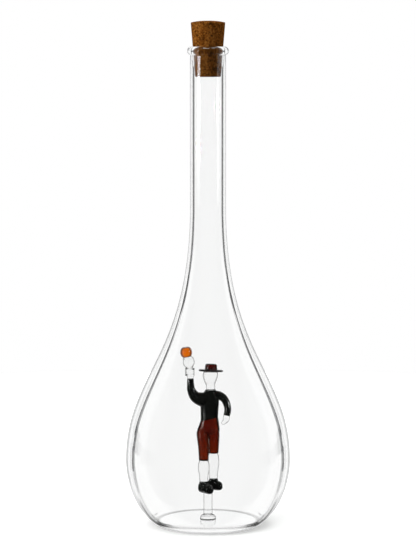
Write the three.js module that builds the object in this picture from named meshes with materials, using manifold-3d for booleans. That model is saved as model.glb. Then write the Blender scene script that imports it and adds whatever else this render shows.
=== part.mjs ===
// Figural glass bottle: a blown drop-shaped bottle with a long neck and a beaded lip, closed by a tapered
// cork. A lamp-worked man in folk dress, raising a cup, stands inside it on a clear rod sealed to the base.
// Millimetres, +Z up, the viewer on the -Y side, origin at the centre of the ring that the bottle stands on.
import * as THREE from "three";
import { mergeVertices } from "three/addons/utils/BufferGeometryUtils.js";
import Module from "manifold-3d";

// Bottle
const bulbRadius = 53.65;
const bulbHeight = 42.2;
const bulbWall = 4.5;
const bulbPull = 57.6;
const shoulderHeight = 208.5;
const shoulderPull = 99.6;
const wallDrop = 4.5;
const neckLength = 102.4;
const neckWall = 2.5;
const neckWaist = 0.16;
const neckWaistLength = 7;
const boreRadius = 9.1;
const lipBeadRadius = 2.8;
const lipLand = 0.6;
const mouthEase = 0.35;

// Base disc, sealed to the rim of the bulb
const baseThickness = 4;
const seamRadius = 38.4;
const seamSlope = 42;
const seamPull = 13.5;
const heelPull = 12;
const heelTurn = 2.2;
const standRadius = 31.8;
const standWidth = 3;
const kickHeight = 0.8;

// Cork
const corkLength = 34.9;
const corkCrown = 1;
const corkInsertion = 19.4;
const corkLead = 0.8;
const corkTaper = 0.082;
const corkEdge = 0.5;
const corkClearance = 0.15;

// Gap that stands for a fused joint between two gathers of glass
const fuseGap = 0.3;

// Figure: the rod it stands on, then the heights of its gathers from the feet up
const rodRadius = 2.9;
const rodLength = 17.2;
const rodFootRadius = 5;
const rodFootHeight = 3.3;
const rodBite = 2.2;
const shoeHeight = 7.2;
const shoeWidth = 5.8;
const shoeHeel = 2.3;
const calfRadius = 3.75;
const calfNarrowing = 1;
const breechesLength = 26.8;
const hemRadius = 3.1;
const hipHalfWidth = 7.5;
const hipDepth = 4.3;
const waistHalfWidth = 5.7;
const waistDepth = 3.9;
const jacketLength = 18.6;
const chestHalfWidth = 6.1;
const chestDepth = 4.4;
const collarRadius = 3;
const spineLean = 1.1;
const sleeveRadius = 2.75;
const cuffRadius = 2.1;
const neckHeight = 3.6;
const headHeight = 8.8;
const headHalfWidth = 5;
const headDepth = 5.3;
const headTurn = 40;
const brimRadius = 8;
const brimThickness = 1.4;
const crownRadius = 4.05;
const crownHeight = 3.4;
const hatTilt = -7;
const hatRoll = 2;
const handLength = 6.2;
const handRadius = 2.9;
const stemRadius = 3.8;
const stemHeight = 7.6;
const cupRadius = 3.65;
const cupHeight = 6.1;

// The legs. right and left are the figure's own; the right foot is forward, on the viewer's left.
const legs = {
  right: { x: -2.75, y: -2.4, lift: 0, calf: 14, toe: -48, reach: 5.6 },
  left: { x: 3.6, y: 2.4, lift: 1, calf: 17, toe: -25, reach: 3.9 },
};

// Facets
const bottleSides = 48;
const rodSides = 24;
const bodySides = 18;
const limbSides = 14;

const wasm = await Module();
wasm.setup();

// Heights that follow from the sizes above
const lipHeight = shoulderHeight + neckLength;
const neckRadius = boreRadius + neckWall;
const corkFoot = lipHeight - corkInsertion;
const soleHeight = baseThickness + rodLength;
const hemHeight = (leg) => soleHeight + leg.lift + shoeHeight + leg.calf;
const waistHeight = hemHeight(legs.right) + breechesLength;
const collarHeight = waistHeight + jacketLength;
const brimHeight = collarHeight + neckHeight + headHeight;

const up = new THREE.Vector3(0, 0, 1);
const point = (x, y, z) => new THREE.Vector3(x, y, z);
const radians = THREE.MathUtils.degToRad;

// Joins stretches of a profile, dropping the point that two stretches share.
function profileOf(...stretches) {
  const same = 1e-6;
  return stretches.flat().filter((p, i, all) => i === 0 || p.distanceTo(all[i - 1]) > same);
}

const line = (...points) => points.map(([r, z]) => new THREE.Vector2(r, z));

function bezier(spans, ...points) {
  return new THREE.CubicBezierCurve(...line(...points)).getPoints(spans);
}

function arc(spans, r, z, radius, from, to) {
  const clockwise = to < from;
  return new THREE.EllipseCurve(r, z, radius, radius, radians(from), radians(to), clockwise).getPoints(spans);
}

// A solid of revolution about Z. The profile runs from the foot up the outside and back down the inside.
function revolve(profile, sides) {
  return new THREE.LatheGeometry(profile, sides).rotateX(Math.PI / 2);
}

// A closed skin over a row of elliptical rings, each with a centre and two half-axes.
function skin(rings, sides) {
  const points = rings.flatMap(({ centre, across, along }) =>
    Array.from({ length: sides }, (_, i) => {
      const angle = (2 * Math.PI * i) / sides;
      return centre.clone().addScaledVector(across, Math.cos(angle)).addScaledVector(along, Math.sin(angle));
    }),
  );
  const last = (rings.length - 1) * sides;
  const startCentre = points.push(rings[0].centre) - 1;
  const endCentre = points.push(rings.at(-1).centre) - 1;
  const faces = [];
  for (let i = 0; i < sides; i++) {
    const next = (i + 1) % sides;
    for (let row = 0; row < last; row += sides) {
      faces.push(row + i, row + next, row + sides + next);
      faces.push(row + i, row + sides + next, row + sides + i);
    }
    faces.push(startCentre, next, i);
    faces.push(endCentre, last + i, last + next);
  }
  const geometry = new THREE.BufferGeometry().setFromPoints(points).setIndex(faces);
  geometry.computeVertexNormals();
  return geometry;
}

// Rings that round off an end. direction points out of it, and reach is how far the dome stands out.
function dome(ring, direction, reach, steps = 3) {
  const steepest = radians(78);
  return Array.from({ length: steps }, (_, i) => {
    const angle = (steepest * (i + 1)) / steps;
    return {
      centre: ring.centre.clone().addScaledVector(direction, reach * Math.sin(angle)),
      across: ring.across.clone().multiplyScalar(Math.cos(angle)),
      along: ring.along.clone().multiplyScalar(Math.cos(angle)),
    };
  });
}

// Values between stations, on a smooth curve through them.
function smooth(stations, spans) {
  const size = stations[0].length;
  const places = stations.map((_, i) => i);
  const curve = new THREE.CubicInterpolant(places, stations.flat(), size, new Array(size));
  const count = (stations.length - 1) * spans;
  return Array.from({ length: count + 1 }, (_, i) => [...curve.evaluate(i / spans)]);
}

// Level rings through [x, y, z, half width, half depth] stations, grown outwards where they are a cutter.
function levelRings(stations, grow = 0, spans = 3) {
  return smooth(stations, spans).map(([x, y, z, width, depth]) => ({
    centre: point(x, y, z),
    across: point(width + grow, 0, 0),
    along: point(0, depth + grow, 0),
  }));
}

// Round rings square to a smooth path through [x, y, z, radius] stations.
function pathRings(stations, steps) {
  const path = new THREE.CatmullRomCurve3(stations.map(([x, y, z]) => point(x, y, z)), false, "centripetal");
  const { tangents, normals, binormals } = path.computeFrenetFrames(steps);
  const radii = new THREE.CatmullRomCurve3(stations.map((station) => point(station[3], 0, 0)));
  return tangents.map((tangent, i) => {
    const radius = radii.getPoint(path.getUtoTmapping(i / steps)).x;
    return {
      centre: path.getPointAt(i / steps),
      across: normals[i].clone().multiplyScalar(radius),
      along: binormals[i].clone().multiplyScalar(radius),
      tangent,
    };
  });
}

// A geometry as a solid that can be cut.
function solid(geometry) {
  const bare = geometry.index ? geometry.toNonIndexed() : geometry.clone();
  bare.deleteAttribute("normal");
  bare.deleteAttribute("uv");
  const merged = mergeVertices(bare, 1e-4);
  const triVerts = new Uint32Array(merged.index.array);
  return new wasm.Manifold(
    new wasm.Mesh({ numProp: 3, vertProperties: merged.attributes.position.array, triVerts }),
  );
}

// A solid as a geometry again, without the slivers that cutting leaves.
function geometryOf(made) {
  const { vertProperties, triVerts } = made.simplify(0.02).getMesh();
  const geometry = new THREE.BufferGeometry();
  geometry.setAttribute("position", new THREE.BufferAttribute(vertProperties, 3));
  geometry.setIndex(new THREE.BufferAttribute(triVerts, 1));
  geometry.computeVertexNormals();
  return geometry;
}

// What is left of body once the cutters are taken away.
function cut(body, ...cutters) {
  return geometryOf(cutters.reduce((left, cutter) => left.subtract(solid(cutter)), solid(body)));
}

// One body out of several that run into each other.
function join(...bodies) {
  return geometryOf(bodies.map(solid).reduce((whole, next) => whole.add(next)));
}

// Glass and cork
const finish = (color, opacity, roughness = 0.04) => () =>
  new THREE.MeshStandardMaterial({ color, roughness, metalness: 0, opacity, transparent: opacity < 1 });
const clearGlass = finish(0xf3f7f6, 0.3);
const blackGlass = finish(0x0c0c0c, 1, 0.08);
const brownGlass = finish(0x5a1404, 0.95, 0.06);
const amberGlass = finish(0xdd6a05, 0.9, 0.06);
const bareCork = finish(0x8a5526, 1, 0.85);

const bottle = new THREE.Group();
bottle.name = "figural_glass_bottle";

function piece(name, geometry, material, parent = bottle) {
  const mesh = new THREE.Mesh(geometry, material());
  mesh.name = name;
  parent.add(mesh);
  return mesh;
}

const corkRadiusAt = (height) => boreRadius - corkLead + corkTaper * (height - corkFoot);

// The blown shell: bulb, shoulder, neck and beaded lip, open at the mouth and at the rim over the base.
// The wall thins from the bulb to the neck, and its inside draws in a little lower than its outside.
function bottleShell() {
  const slope = radians(seamSlope);
  const heel = [seamRadius + seamPull * Math.cos(slope), baseThickness + seamPull * Math.sin(slope)];
  const lower = (inset, spans) =>
    bezier(
      spans,
      [seamRadius - inset, baseThickness],
      [heel[0] - inset, heel[1]],
      [bulbRadius - inset, bulbHeight - heelPull],
      [bulbRadius - inset, bulbHeight],
    );
  const upper = (bulbInset, neckInset, drop, spans) =>
    bezier(
      spans,
      [bulbRadius - bulbInset, bulbHeight],
      [bulbRadius - bulbInset, bulbHeight + bulbPull - drop],
      [neckRadius - neckInset, shoulderHeight - shoulderPull - drop],
      [neckRadius - neckInset, shoulderHeight],
    );
  const mouthRadius = corkRadiusAt(lipHeight) + corkClearance;
  const seatHeight = corkFoot + (corkLead - corkClearance) / corkTaper;
  const beadRadius = mouthRadius + lipLand;
  const beadHeight = lipHeight - lipBeadRadius;
  const beadFoot = (-180 / Math.PI) * Math.acos((neckRadius - neckWaist - beadRadius) / lipBeadRadius);
  const outside = profileOf(
    lower(0, 6),
    upper(0, 0, 0, 14),
    line([neckRadius, beadHeight - lipBeadRadius - neckWaistLength]),
    arc(7, beadRadius, beadHeight, lipBeadRadius, beadFoot, 90),
  );
  const inside = profileOf(
    line([mouthRadius + mouthEase, lipHeight], [mouthRadius, lipHeight - mouthEase], [boreRadius, seatHeight]),
    upper(bulbWall, neckWall, wallDrop, 14).reverse(),
    lower(bulbWall, 6).reverse(),
  );
  return revolve(profileOf(outside, inside, outside.slice(0, 1)), bottleSides);
}

// The disc that closes the bulb: a level floor, a rounded heel and a standing ring round a shallow kick.
function baseDisc() {
  const slope = radians(seamSlope);
  const ring = standRadius - standWidth;
  const heel = bezier(
    6,
    [standRadius, 0],
    [standRadius + heelTurn, 0],
    [seamRadius - heelTurn * Math.cos(slope), baseThickness - heelTurn * Math.sin(slope)],
    [seamRadius, baseThickness],
  );
  const kick = bezier(5, [0, kickHeight], [ring / 2, kickHeight], [ring * 0.8, kickHeight / 4], [ring, 0]);
  return revolve(profileOf(kick, heel, line([0, baseThickness])), bottleSides);
}

// The cork: a cone with broken edges and a slightly crowned top, wedged in the mouth's matching flare.
function cork() {
  const head = corkFoot + corkLength;
  const foot = corkRadiusAt(corkFoot);
  const top = corkRadiusAt(head);
  const side = line(
    [0, corkFoot],
    [foot - corkEdge, corkFoot],
    [corkRadiusAt(corkFoot + corkEdge), corkFoot + corkEdge],
    [corkRadiusAt(head - corkEdge), head - corkEdge],
  );
  const edge = top - corkEdge;
  const crown = bezier(
    5,
    [edge, head],
    [edge * 0.7, head + corkCrown * 0.7],
    [edge * 0.4, head + corkCrown],
    [0, head + corkCrown],
  );
  return revolve(profileOf(side, crown), bottleSides);
}

// A shoe: flat-bottomed oval sections from heel to toe. grow turns it into the cutter for what sits on it.
function shoe(leg, grow = 0) {
  const toe = point(Math.cos(radians(leg.toe)), Math.sin(radians(leg.toe)), 0);
  const side = up.clone().cross(toe);
  const half = shoeWidth / 2;
  const tall = shoeHeight / 2;
  const sections = [
    [-shoeHeel, half * 0.84, tall * 0.84],
    [0, half, tall],
    [leg.reach * 0.5, half * 1.04, tall * 0.86],
    [leg.reach, half * 0.88, tall * 0.68],
  ];
  const rings = smooth(sections, 3).map(([reach, width, height]) => ({
    centre: point(leg.x, leg.y, soleHeight + leg.lift + height).addScaledVector(toe, reach),
    across: side.clone().multiplyScalar(width + grow),
    along: up.clone().multiplyScalar(height + grow),
  }));
  const heel = dome(rings[0], toe.clone().negate(), half * 0.6 + grow).reverse();
  const tip = dome(rings.at(-1), toe, half * 0.75 + grow);
  return skin([...heel, ...rings, ...tip], bodySides);
}

// The rod: a drawn stem with a round bead for a foot, its head melted between the two shoes.
function supportRod() {
  const foot = bezier(
    5,
    [rodFootRadius * 0.9, baseThickness],
    [rodFootRadius * 1.12, baseThickness + rodFootHeight * 0.15],
    [rodFootRadius * 1.05, baseThickness + rodFootHeight],
    [rodRadius, baseThickness + rodFootHeight],
  );
  const head = soleHeight + rodBite;
  const profile = profileOf(line([0, baseThickness]), foot, line([rodRadius, head], [0, head]));
  return cut(revolve(profile, rodSides), ...Object.values(legs).map((leg) => shoe(leg, fuseGap)));
}

// A stockinged calf, from the shoe up to the hem of the breeches.
function calf(leg) {
  const foot = soleHeight + leg.lift + shoeHeight / 2;
  const knee = hemHeight(leg);
  const at = (share) => foot + (knee - foot) * share;
  const ankle = calfRadius - calfNarrowing;
  const stations = [
    [leg.x, leg.y, at(0), ankle, ankle],
    [leg.x, leg.y, at(0.3), ankle + 0.1, ankle + 0.2],
    [leg.x, leg.y, at(0.66), calfRadius, calfRadius],
    [leg.x, leg.y, at(1), hemRadius, hemRadius],
  ];
  return cut(skin(levelRings(stations), bodySides), shoe(leg, fuseGap));
}

// The breeches: two legs that run up into one seat, level at each hem and at the waist.
function breeches() {
  const hip = waistHeight - breechesLength * 0.3;
  const fork = hip - breechesLength * 0.14;
  const half = hipHalfWidth / 2;
  const legOf = (leg, sign) => {
    const hem = hemHeight(leg) + fuseGap;
    return skin(
      levelRings([
        [leg.x, leg.y, hem, hemRadius, hemRadius + 0.1],
        [leg.x + sign * 0.2, leg.y * 0.75, (hem + fork) / 2, hemRadius + 0.25, hemRadius + 0.35],
        [sign * half, leg.y * 0.35, fork, half - 0.1, half + 0.1],
        [sign * (half - 0.5), 0, (hip + waistHeight) / 2, half - 0.9, half - 0.9],
      ]),
      bodySides,
    );
  };
  const seat = skin(
    levelRings([
      [0.1, 0, fork - 1, half * 0.5, half * 0.6],
      [0.1, 0, (fork + hip) / 2, hipHalfWidth - 1.1, hipDepth - 0.4],
      [0.1, 0, hip, hipHalfWidth - 0.1, hipDepth],
      [spineLean * 0.5, 0, (hip + waistHeight) / 2, hipHalfWidth * 0.9, hipDepth],
      [spineLean * 0.8, 0, waistHeight, waistHalfWidth, waistDepth],
    ]),
    bodySides,
  );
  return join(seat, legOf(legs.right, -1), legOf(legs.left, 1));
}

// The body of the jacket, from the waist to the collar.
function jacket(grow = 0) {
  const foot = waistHeight + fuseGap;
  const at = (share) => foot + (collarHeight - foot) * share;
  const stations = [
    [spineLean * 0.8, 0, at(0), waistHalfWidth, waistDepth],
    [spineLean * 0.9, 0, at(0.3), waistHalfWidth + 0.15, waistDepth + 0.1],
    [spineLean, 0, at(0.62), chestHalfWidth, chestDepth],
    [spineLean * 1.2, 0, at(0.85), chestHalfWidth * 0.86, chestDepth * 0.86],
    [spineLean * 1.5, 0, at(1), collarRadius, collarRadius],
  ];
  return skin(levelRings(stations, grow, 4), bodySides + 4);
}

// The raised right sleeve: full at the shoulder, out and up round the elbow, and upright to the cuff.
const belowCollar = (drop) => collarHeight - drop;
const raisedSleeve = pathRings(
  [
    [-1.2, 0, belowCollar(7.2), sleeveRadius * 1.55],
    [-4.6, -0.4, belowCollar(6.5), sleeveRadius * 1.45],
    [-7.9, -0.9, belowCollar(4.3), sleeveRadius * 1.15],
    [-10.5, -1.5, belowCollar(0.3), sleeveRadius * 0.96],
    [-11.3, -1.9, belowCollar(-3.4), sleeveRadius * 0.86],
    [-11.4, -2.1, belowCollar(-7.6), cuffRadius],
  ],
  16,
);

// The left sleeve: off the sloping shoulder, bent out at the elbow and back to the hip.
const bentSleeve = pathRings(
  [
    [2.8, 0, belowCollar(4.6), sleeveRadius * 1.3],
    [6.6, 0, belowCollar(4.2), sleeveRadius * 1.2],
    [9.9, 0, belowCollar(6.2), sleeveRadius * 1.06],
    [12, -0.4, belowCollar(9.6), sleeveRadius * 0.95],
    [12.6, -0.9, belowCollar(13), sleeveRadius * 0.86],
    [12.1, -1.6, belowCollar(16.2), cuffRadius],
  ],
  16,
);

function sleeve(rings) {
  return cut(skin(rings, limbSides), jacket(fuseGap));
}

// The end face of a limb, moved out by the fused gap.
function beyond(rings) {
  const { centre, tangent } = rings.at(-1);
  return { start: centre.clone().addScaledVector(tangent, fuseGap), tangent };
}

// The right hand, closed round the foot of the cup: it widens from the wrist to a level grip.
function grip() {
  const { start, tangent } = beyond(raisedSleeve);
  const lean = point(-1, -0.2, handLength).normalize();
  const wrist = start.clone().addScaledVector(tangent, handLength * 0.35);
  const knuckles = wrist.clone().addScaledVector(lean, handLength * 0.35);
  const top = knuckles.clone().addScaledVector(lean, handLength * 0.3);
  return pathRings(
    [
      [...start, cuffRadius - 0.15],
      [...wrist, cuffRadius + 0.15],
      [...knuckles, handRadius],
      [...top, handRadius - 0.3],
    ],
    9,
  );
}

// The left hand, a flat-ended wrist that swells and closes to blunt fingertips at the hip.
function hipHand() {
  const { start, tangent } = beyond(bentSleeve);
  const inward = point(-0.66, -0.1, -0.74).normalize();
  const palm = start.clone().addScaledVector(tangent, handLength * 0.3);
  const tip = palm.clone().addScaledVector(inward, handLength * 0.55);
  const rings = pathRings(
    [
      [...start, cuffRadius - 0.2],
      [...palm, cuffRadius + 0.1],
      [...tip, cuffRadius - 0.75],
    ],
    8,
  );
  const end = rings.at(-1);
  return skin([...rings, ...dome(end, end.tangent, cuffRadius - 0.75)], limbSides);
}

// The head: a plain egg with a blunt chin on a short neck, turned towards the raised cup.
function head() {
  const chin = collarHeight + neckHeight;
  const at = (share) => chin + headHeight * share;
  const x = spineLean * 1.5;
  const forward = point(-Math.sin(radians(headTurn)), -Math.cos(radians(headTurn)), 0);
  const station = (shift, height, width, depth) => [
    x + forward.x * shift,
    forward.y * shift,
    height,
    width,
    depth,
  ];
  const stations = [
    station(0, collarHeight + fuseGap, collarRadius, collarRadius),
    station(0, chin - 1, collarRadius - 0.25, collarRadius - 0.25),
    station(0.75, at(0.02), headHalfWidth * 0.68, headDepth * 0.68),
    station(0.55, at(0.28), headHalfWidth * 0.88, headDepth * 0.88),
    station(0.15, at(0.62), headHalfWidth, headDepth),
    station(0, at(0.86), headHalfWidth * 0.96, headDepth * 0.96),
    station(0, at(1), headHalfWidth * 0.82, headDepth * 0.82),
  ];
  return skin(levelRings(stations), bodySides);
}

// The hat sits tipped back, so the brim and the crown are turned together.
const hat = new THREE.Group();
hat.position.set(spineLean * 1.75, 0, brimHeight);
hat.rotation.set(radians(hatTilt), radians(hatRoll), 0);
bottle.add(hat);

function brim(grow = 0) {
  const half = brimThickness / 2 + grow;
  const round = arc(6, brimRadius - half + grow, 0, half, -90, 90);
  return revolve(profileOf(line([0, -half]), round, line([0, half])), rodSides + 8);
}

function crown() {
  const foot = brimThickness / 2 + fuseGap;
  const top = foot + crownHeight;
  const ease = crownHeight * 0.36;
  const profile = profileOf(
    line([0, foot], [crownRadius, foot], [crownRadius * 0.97, top - ease]),
    arc(4, crownRadius * 0.97 - ease, top - ease, ease, 0, 90),
    line([0, top - 0.25]),
  );
  return revolve(profile, rodSides);
}

// The cup, on the line of the hand that holds it: a clear bulb with a full amber bowl above.
const gripRings = grip();
const cup = new THREE.Group();
const hold = beyond(gripRings);
cup.position.copy(hold.start);
cup.quaternion.setFromUnitVectors(up, hold.tangent);
bottle.add(cup);

function cupStem() {
  const seat = handRadius - 0.4;
  const profile = bezier(
    8,
    [seat, 0],
    [stemRadius * 1.25, stemHeight * 0.2],
    [stemRadius * 1.2, stemHeight * 0.85],
    [cupRadius * 0.62, stemHeight],
  );
  return revolve(profileOf(line([0, 0]), profile, line([0, stemHeight])), limbSides + 4);
}

function cupBowl() {
  const foot = stemHeight + fuseGap;
  const top = foot + cupHeight;
  const profile = bezier(
    8,
    [cupRadius * 0.66, foot],
    [cupRadius * 1.22, foot + cupHeight * 0.12],
    [cupRadius * 1.15, top - cupHeight * 0.04],
    [cupRadius * 0.35, top],
  );
  return revolve(profileOf(line([0, foot]), profile, line([0, top])), limbSides + 4);
}

piece("bottle_shell", bottleShell(), clearGlass);
piece("base_disc", baseDisc(), clearGlass);
piece("cork", cork(), bareCork);
piece("support_rod", supportRod(), clearGlass);
for (const [side, leg] of Object.entries(legs)) {
  piece(`${side}_shoe`, shoe(leg), blackGlass);
  piece(`${side}_calf`, calf(leg), clearGlass);
}
piece("breeches", breeches(), brownGlass);
piece("jacket", jacket(), blackGlass);
piece("right_sleeve", sleeve(raisedSleeve), blackGlass);
piece("left_sleeve", sleeve(bentSleeve), blackGlass);
piece("right_hand", skin(gripRings, limbSides), clearGlass);
piece("left_hand", hipHand(), clearGlass);
hat.updateMatrixWorld(true);
piece("head", cut(head(), brim(fuseGap).applyMatrix4(hat.matrixWorld)), clearGlass);
piece("hat_brim", brim(), brownGlass, hat);
piece("hat_crown", crown(), brownGlass, hat);
piece("cup_stem", cupStem(), clearGlass, cup);
piece("cup_bowl", cupBowl(), amberGlass, cup);

export default bottle;
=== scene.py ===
"""Looks of the figural glass bottle: a blown, corked bottle with a lamp-worked figure inside it."""
from math import acos, cos, pi, radians, sin, tan

import bmesh
import bpy
from mathutils import Matrix, Vector


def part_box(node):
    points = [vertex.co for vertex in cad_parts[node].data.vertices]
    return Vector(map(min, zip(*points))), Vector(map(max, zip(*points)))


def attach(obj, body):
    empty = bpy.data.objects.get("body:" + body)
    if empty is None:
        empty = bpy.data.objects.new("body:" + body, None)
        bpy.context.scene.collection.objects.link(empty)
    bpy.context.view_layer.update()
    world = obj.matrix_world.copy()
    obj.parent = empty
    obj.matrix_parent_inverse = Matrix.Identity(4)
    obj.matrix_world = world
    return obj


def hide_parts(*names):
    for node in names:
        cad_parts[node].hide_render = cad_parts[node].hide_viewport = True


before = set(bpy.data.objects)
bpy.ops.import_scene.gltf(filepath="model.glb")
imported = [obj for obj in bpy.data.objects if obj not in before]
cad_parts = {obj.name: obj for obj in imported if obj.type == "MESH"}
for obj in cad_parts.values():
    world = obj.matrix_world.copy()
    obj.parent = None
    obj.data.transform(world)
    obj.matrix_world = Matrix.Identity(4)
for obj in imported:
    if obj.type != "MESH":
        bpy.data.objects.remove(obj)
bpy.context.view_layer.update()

bl_info = {
    "name": "Figural glass bottle",
    "version": (1, 0, 0),
    "blender": (4, 5, 0),
    "location": "3D View > Sidebar > Glass",
    "description": "Dresses the packed bottle, its cork and the figure in it, and sets up the studio",
    "category": "Object",
}

UP = Vector((0, 0, 1))
MM = 0.001
WHITE = 1, 1, 1, 1


# Places in the frame

def low(node):
    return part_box(node)[0]


def high(node):
    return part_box(node)[1]


def middle(node):
    return (low(node) + high(node)) / 2


# Properties

def length(name, description, default):
    return bpy.props.FloatProperty(
        name=name, description=description, default=default, min=0, precision=5, unit="LENGTH"
    )


def turn(name, description, degrees):
    return bpy.props.FloatProperty(
        name=name, description=description, default=radians(degrees), subtype="ANGLE"
    )


def number(name, description, default):
    return bpy.props.FloatProperty(name=name, description=description, default=default, min=0)


def count(name, description, default):
    return bpy.props.IntProperty(name=name, description=description, default=default, min=3)


def power(name, description, default):
    return bpy.props.FloatProperty(name=name, description=description, default=default, unit="POWER")


def colour(name, description, *default):
    return bpy.props.FloatVectorProperty(
        name=name, description=description, default=default, size=3, min=0, max=1, subtype="COLOR"
    )


class BottleSizes(bpy.types.PropertyGroup):
    """Sizes of the blown glass"""

    bulb_radius: length("Bulb radius", "Outside of the bulb at its widest", high("bottle_shell").x)
    bulb_height: length("Bulb height", "Height of the widest place", 0.0422)
    bulb_wall: length("Bulb wall", "Thickness of the wall at the bulb", 0.0045)
    bulb_pull: length("Bulb pull", "How far the bulb stays full above its widest place", 0.0576)
    shoulder_height: length("Shoulder height", "Height where the shoulder has become the neck", 0.2085)
    shoulder_pull: length("Shoulder pull", "How far below that the neck starts to open", 0.0996)
    wall_drop: length("Wall drop", "How much lower the inside of the wall draws in", 0.0045)
    neck_radius: length("Neck radius", "Outside of the neck", 0.0116)
    neck_waist: length("Neck waist", "How far the neck draws in under the lip", 0.00016)
    neck_waist_length: length("Neck waist length", "Length of the stretch that draws in", 0.007)
    bore_radius: length("Bore radius", "Inside of the neck", 0.0091)
    mouth_radius: length("Mouth radius", "Inside of the mouth at the top", 0.01004)
    mouth_ease: length("Mouth ease", "Rounding of the inner edge of the mouth", 0.00035)
    seat_height: length("Seat height", "Height where the bore starts to flare for the cork", 0.29943)
    lip_height: length("Lip height", "Top of the lip", high("bottle_shell").z)
    lip_bead: length("Lip bead", "Radius of the rounded lip", 0.0028)
    floor_height: length("Floor height", "Inside floor", high("base_disc").z)
    floor_fillet: length("Floor fillet", "Rounding where the wall meets the floor", 0.003)
    seam_radius: length("Seam radius", "Radius where the bulb meets its base", high("base_disc").x)
    seam_pull: length("Seam pull", "How far the bulb runs straight out from its base", 0.0135)
    seam_slope: turn("Seam slope", "Slope of the bulb where it leaves its base", 42)
    heel_pull: length("Heel pull", "How far the bulb stays full below its widest place", 0.012)
    stand_radius: length("Standing radius", "Outside of the ring that the bottle stands on", 0.0318)
    stand_width: length("Standing width", "Width of that ring", 0.003)
    heel_turn: length("Heel turn", "How far the heel runs along the table and up the bulb", 0.0022)
    kick: length("Kick", "Height of the hollow under the base", 0.0008)
    rod_radius: length("Rod radius", "Radius of the rod that carries the figure", 0.0029)
    rod_foot_radius: length("Rod foot radius", "Radius of its beaded foot", high("support_rod").x)
    rod_foot_height: length("Rod foot height", "Height of its beaded foot", 0.0033)
    rod_top: length("Rod top", "Top of the rod, between the shoes", high("support_rod").z)
    sides: count("Sides", "Steps round the bottle", 192)


class CorkSizes(bpy.types.PropertyGroup):
    """Sizes of the stopper"""

    foot_radius: length("Foot radius", "Radius at the foot", 0.0083)
    head_radius: length("Head radius", "Radius at the head", high("cork").x)
    crown: length("Crown", "How far the top stands up in the middle", 0.001)
    edge: length("Edge", "Rounding of both edges", 0.0006)
    pore_depth: length("Pore depth", "Depth of the deepest pores", 0.00035)
    pore_scale: number("Pore scale", "Pores per metre", 520)
    sides: count("Sides", "Steps round the cork", 180)
    rows: count("Rows", "Steps up the cork", 130)


class FigureSizes(bpy.types.PropertyGroup):
    """Sizes of the lamp-worked figure"""

    melt: length("Melt", "How far a clear gather runs into the coloured one it is fused to", 0.00045)
    voxel: length("Voxel", "Step of the skin over gathers that are fused together", 0.00018)
    shoe_width: length("Shoe width", "Width of a shoe", 0.0058)
    shoe_height: length("Shoe height", "Height of a shoe", 0.0072)
    ankle_radius: length("Ankle radius", "Radius of a leg above the shoe", 0.00275)
    calf_radius: length("Calf radius", "Radius of a leg at the calf", 0.00375)
    hem_radius: length("Hem radius", "Radius of a leg at the hem of the breeches", 0.0031)
    hip_half_width: length("Hip half width", "Half width of the breeches at the hips", 0.0075)
    hip_depth: length("Hip depth", "Half depth of the breeches at the hips", 0.0043)
    waist_half_width: length("Waist half width", "Half width at the waist", 0.0057)
    waist_depth: length("Waist depth", "Half depth at the waist", 0.0039)
    slant: turn("Slant", "Slope of the line between jacket and breeches", 13)
    slant_middle: length("Slant middle", "Where along that line its height stays", 0.0009)
    slant_width: length("Slant width", "How far to either side, which leaves out the sleeve", 0.0085)
    slant_reach: length("Slant reach", "How far above and below it the slope is felt", 0.009)
    chest_half_width: length("Chest half width", "Half width of the jacket at the chest", 0.0061)
    chest_depth: length("Chest depth", "Half depth of the jacket at the chest", 0.0044)
    collar_radius: length("Collar radius", "Radius of the jacket at the collar", 0.003)
    sleeve_radius: length("Sleeve radius", "Radius of a sleeve at the elbow", 0.00275)
    cuff_radius: length("Cuff radius", "Radius of a sleeve at the cuff", 0.0021)
    head_half_width: length("Head half width", "Half width of the head", 0.005)
    head_depth: length("Head depth", "Half depth of the head", 0.0053)
    head_turn: turn("Head turn", "How far the head is turned towards the cup", 40)
    brim_radius: length("Brim radius", "Radius of the hat's brim", 0.008)
    brim_thickness: length("Brim thickness", "Thickness of the brim", 0.0014)
    crown_radius: length("Crown radius", "Radius of the hat's crown", 0.00405)
    crown_height: length("Crown height", "Height of the crown over the brim", 0.0037)
    hat_tilt: turn("Hat tilt", "How far the hat is tipped back", -7)
    hat_roll: turn("Hat roll", "How far the hat is tipped sideways", 2)
    hand_radius: length("Hand radius", "Radius of the closed hand", 0.0029)
    fingers: count("Fingers", "Fingers closed round the stem", 4)
    finger_gap: length("Finger gap", "How far apart they lie", 0.00135)
    finger_radius: length("Finger radius", "Radius of a finger", 0.0006)
    stem_radius: length("Stem radius", "Radius of the clear bulb under the cup", 0.0038)
    cup_radius: length("Cup radius", "Radius of the amber cup", 0.00365)
    cup_lean: turn("Cup lean", "How far the cup is tipped towards the head", -5)


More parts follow.
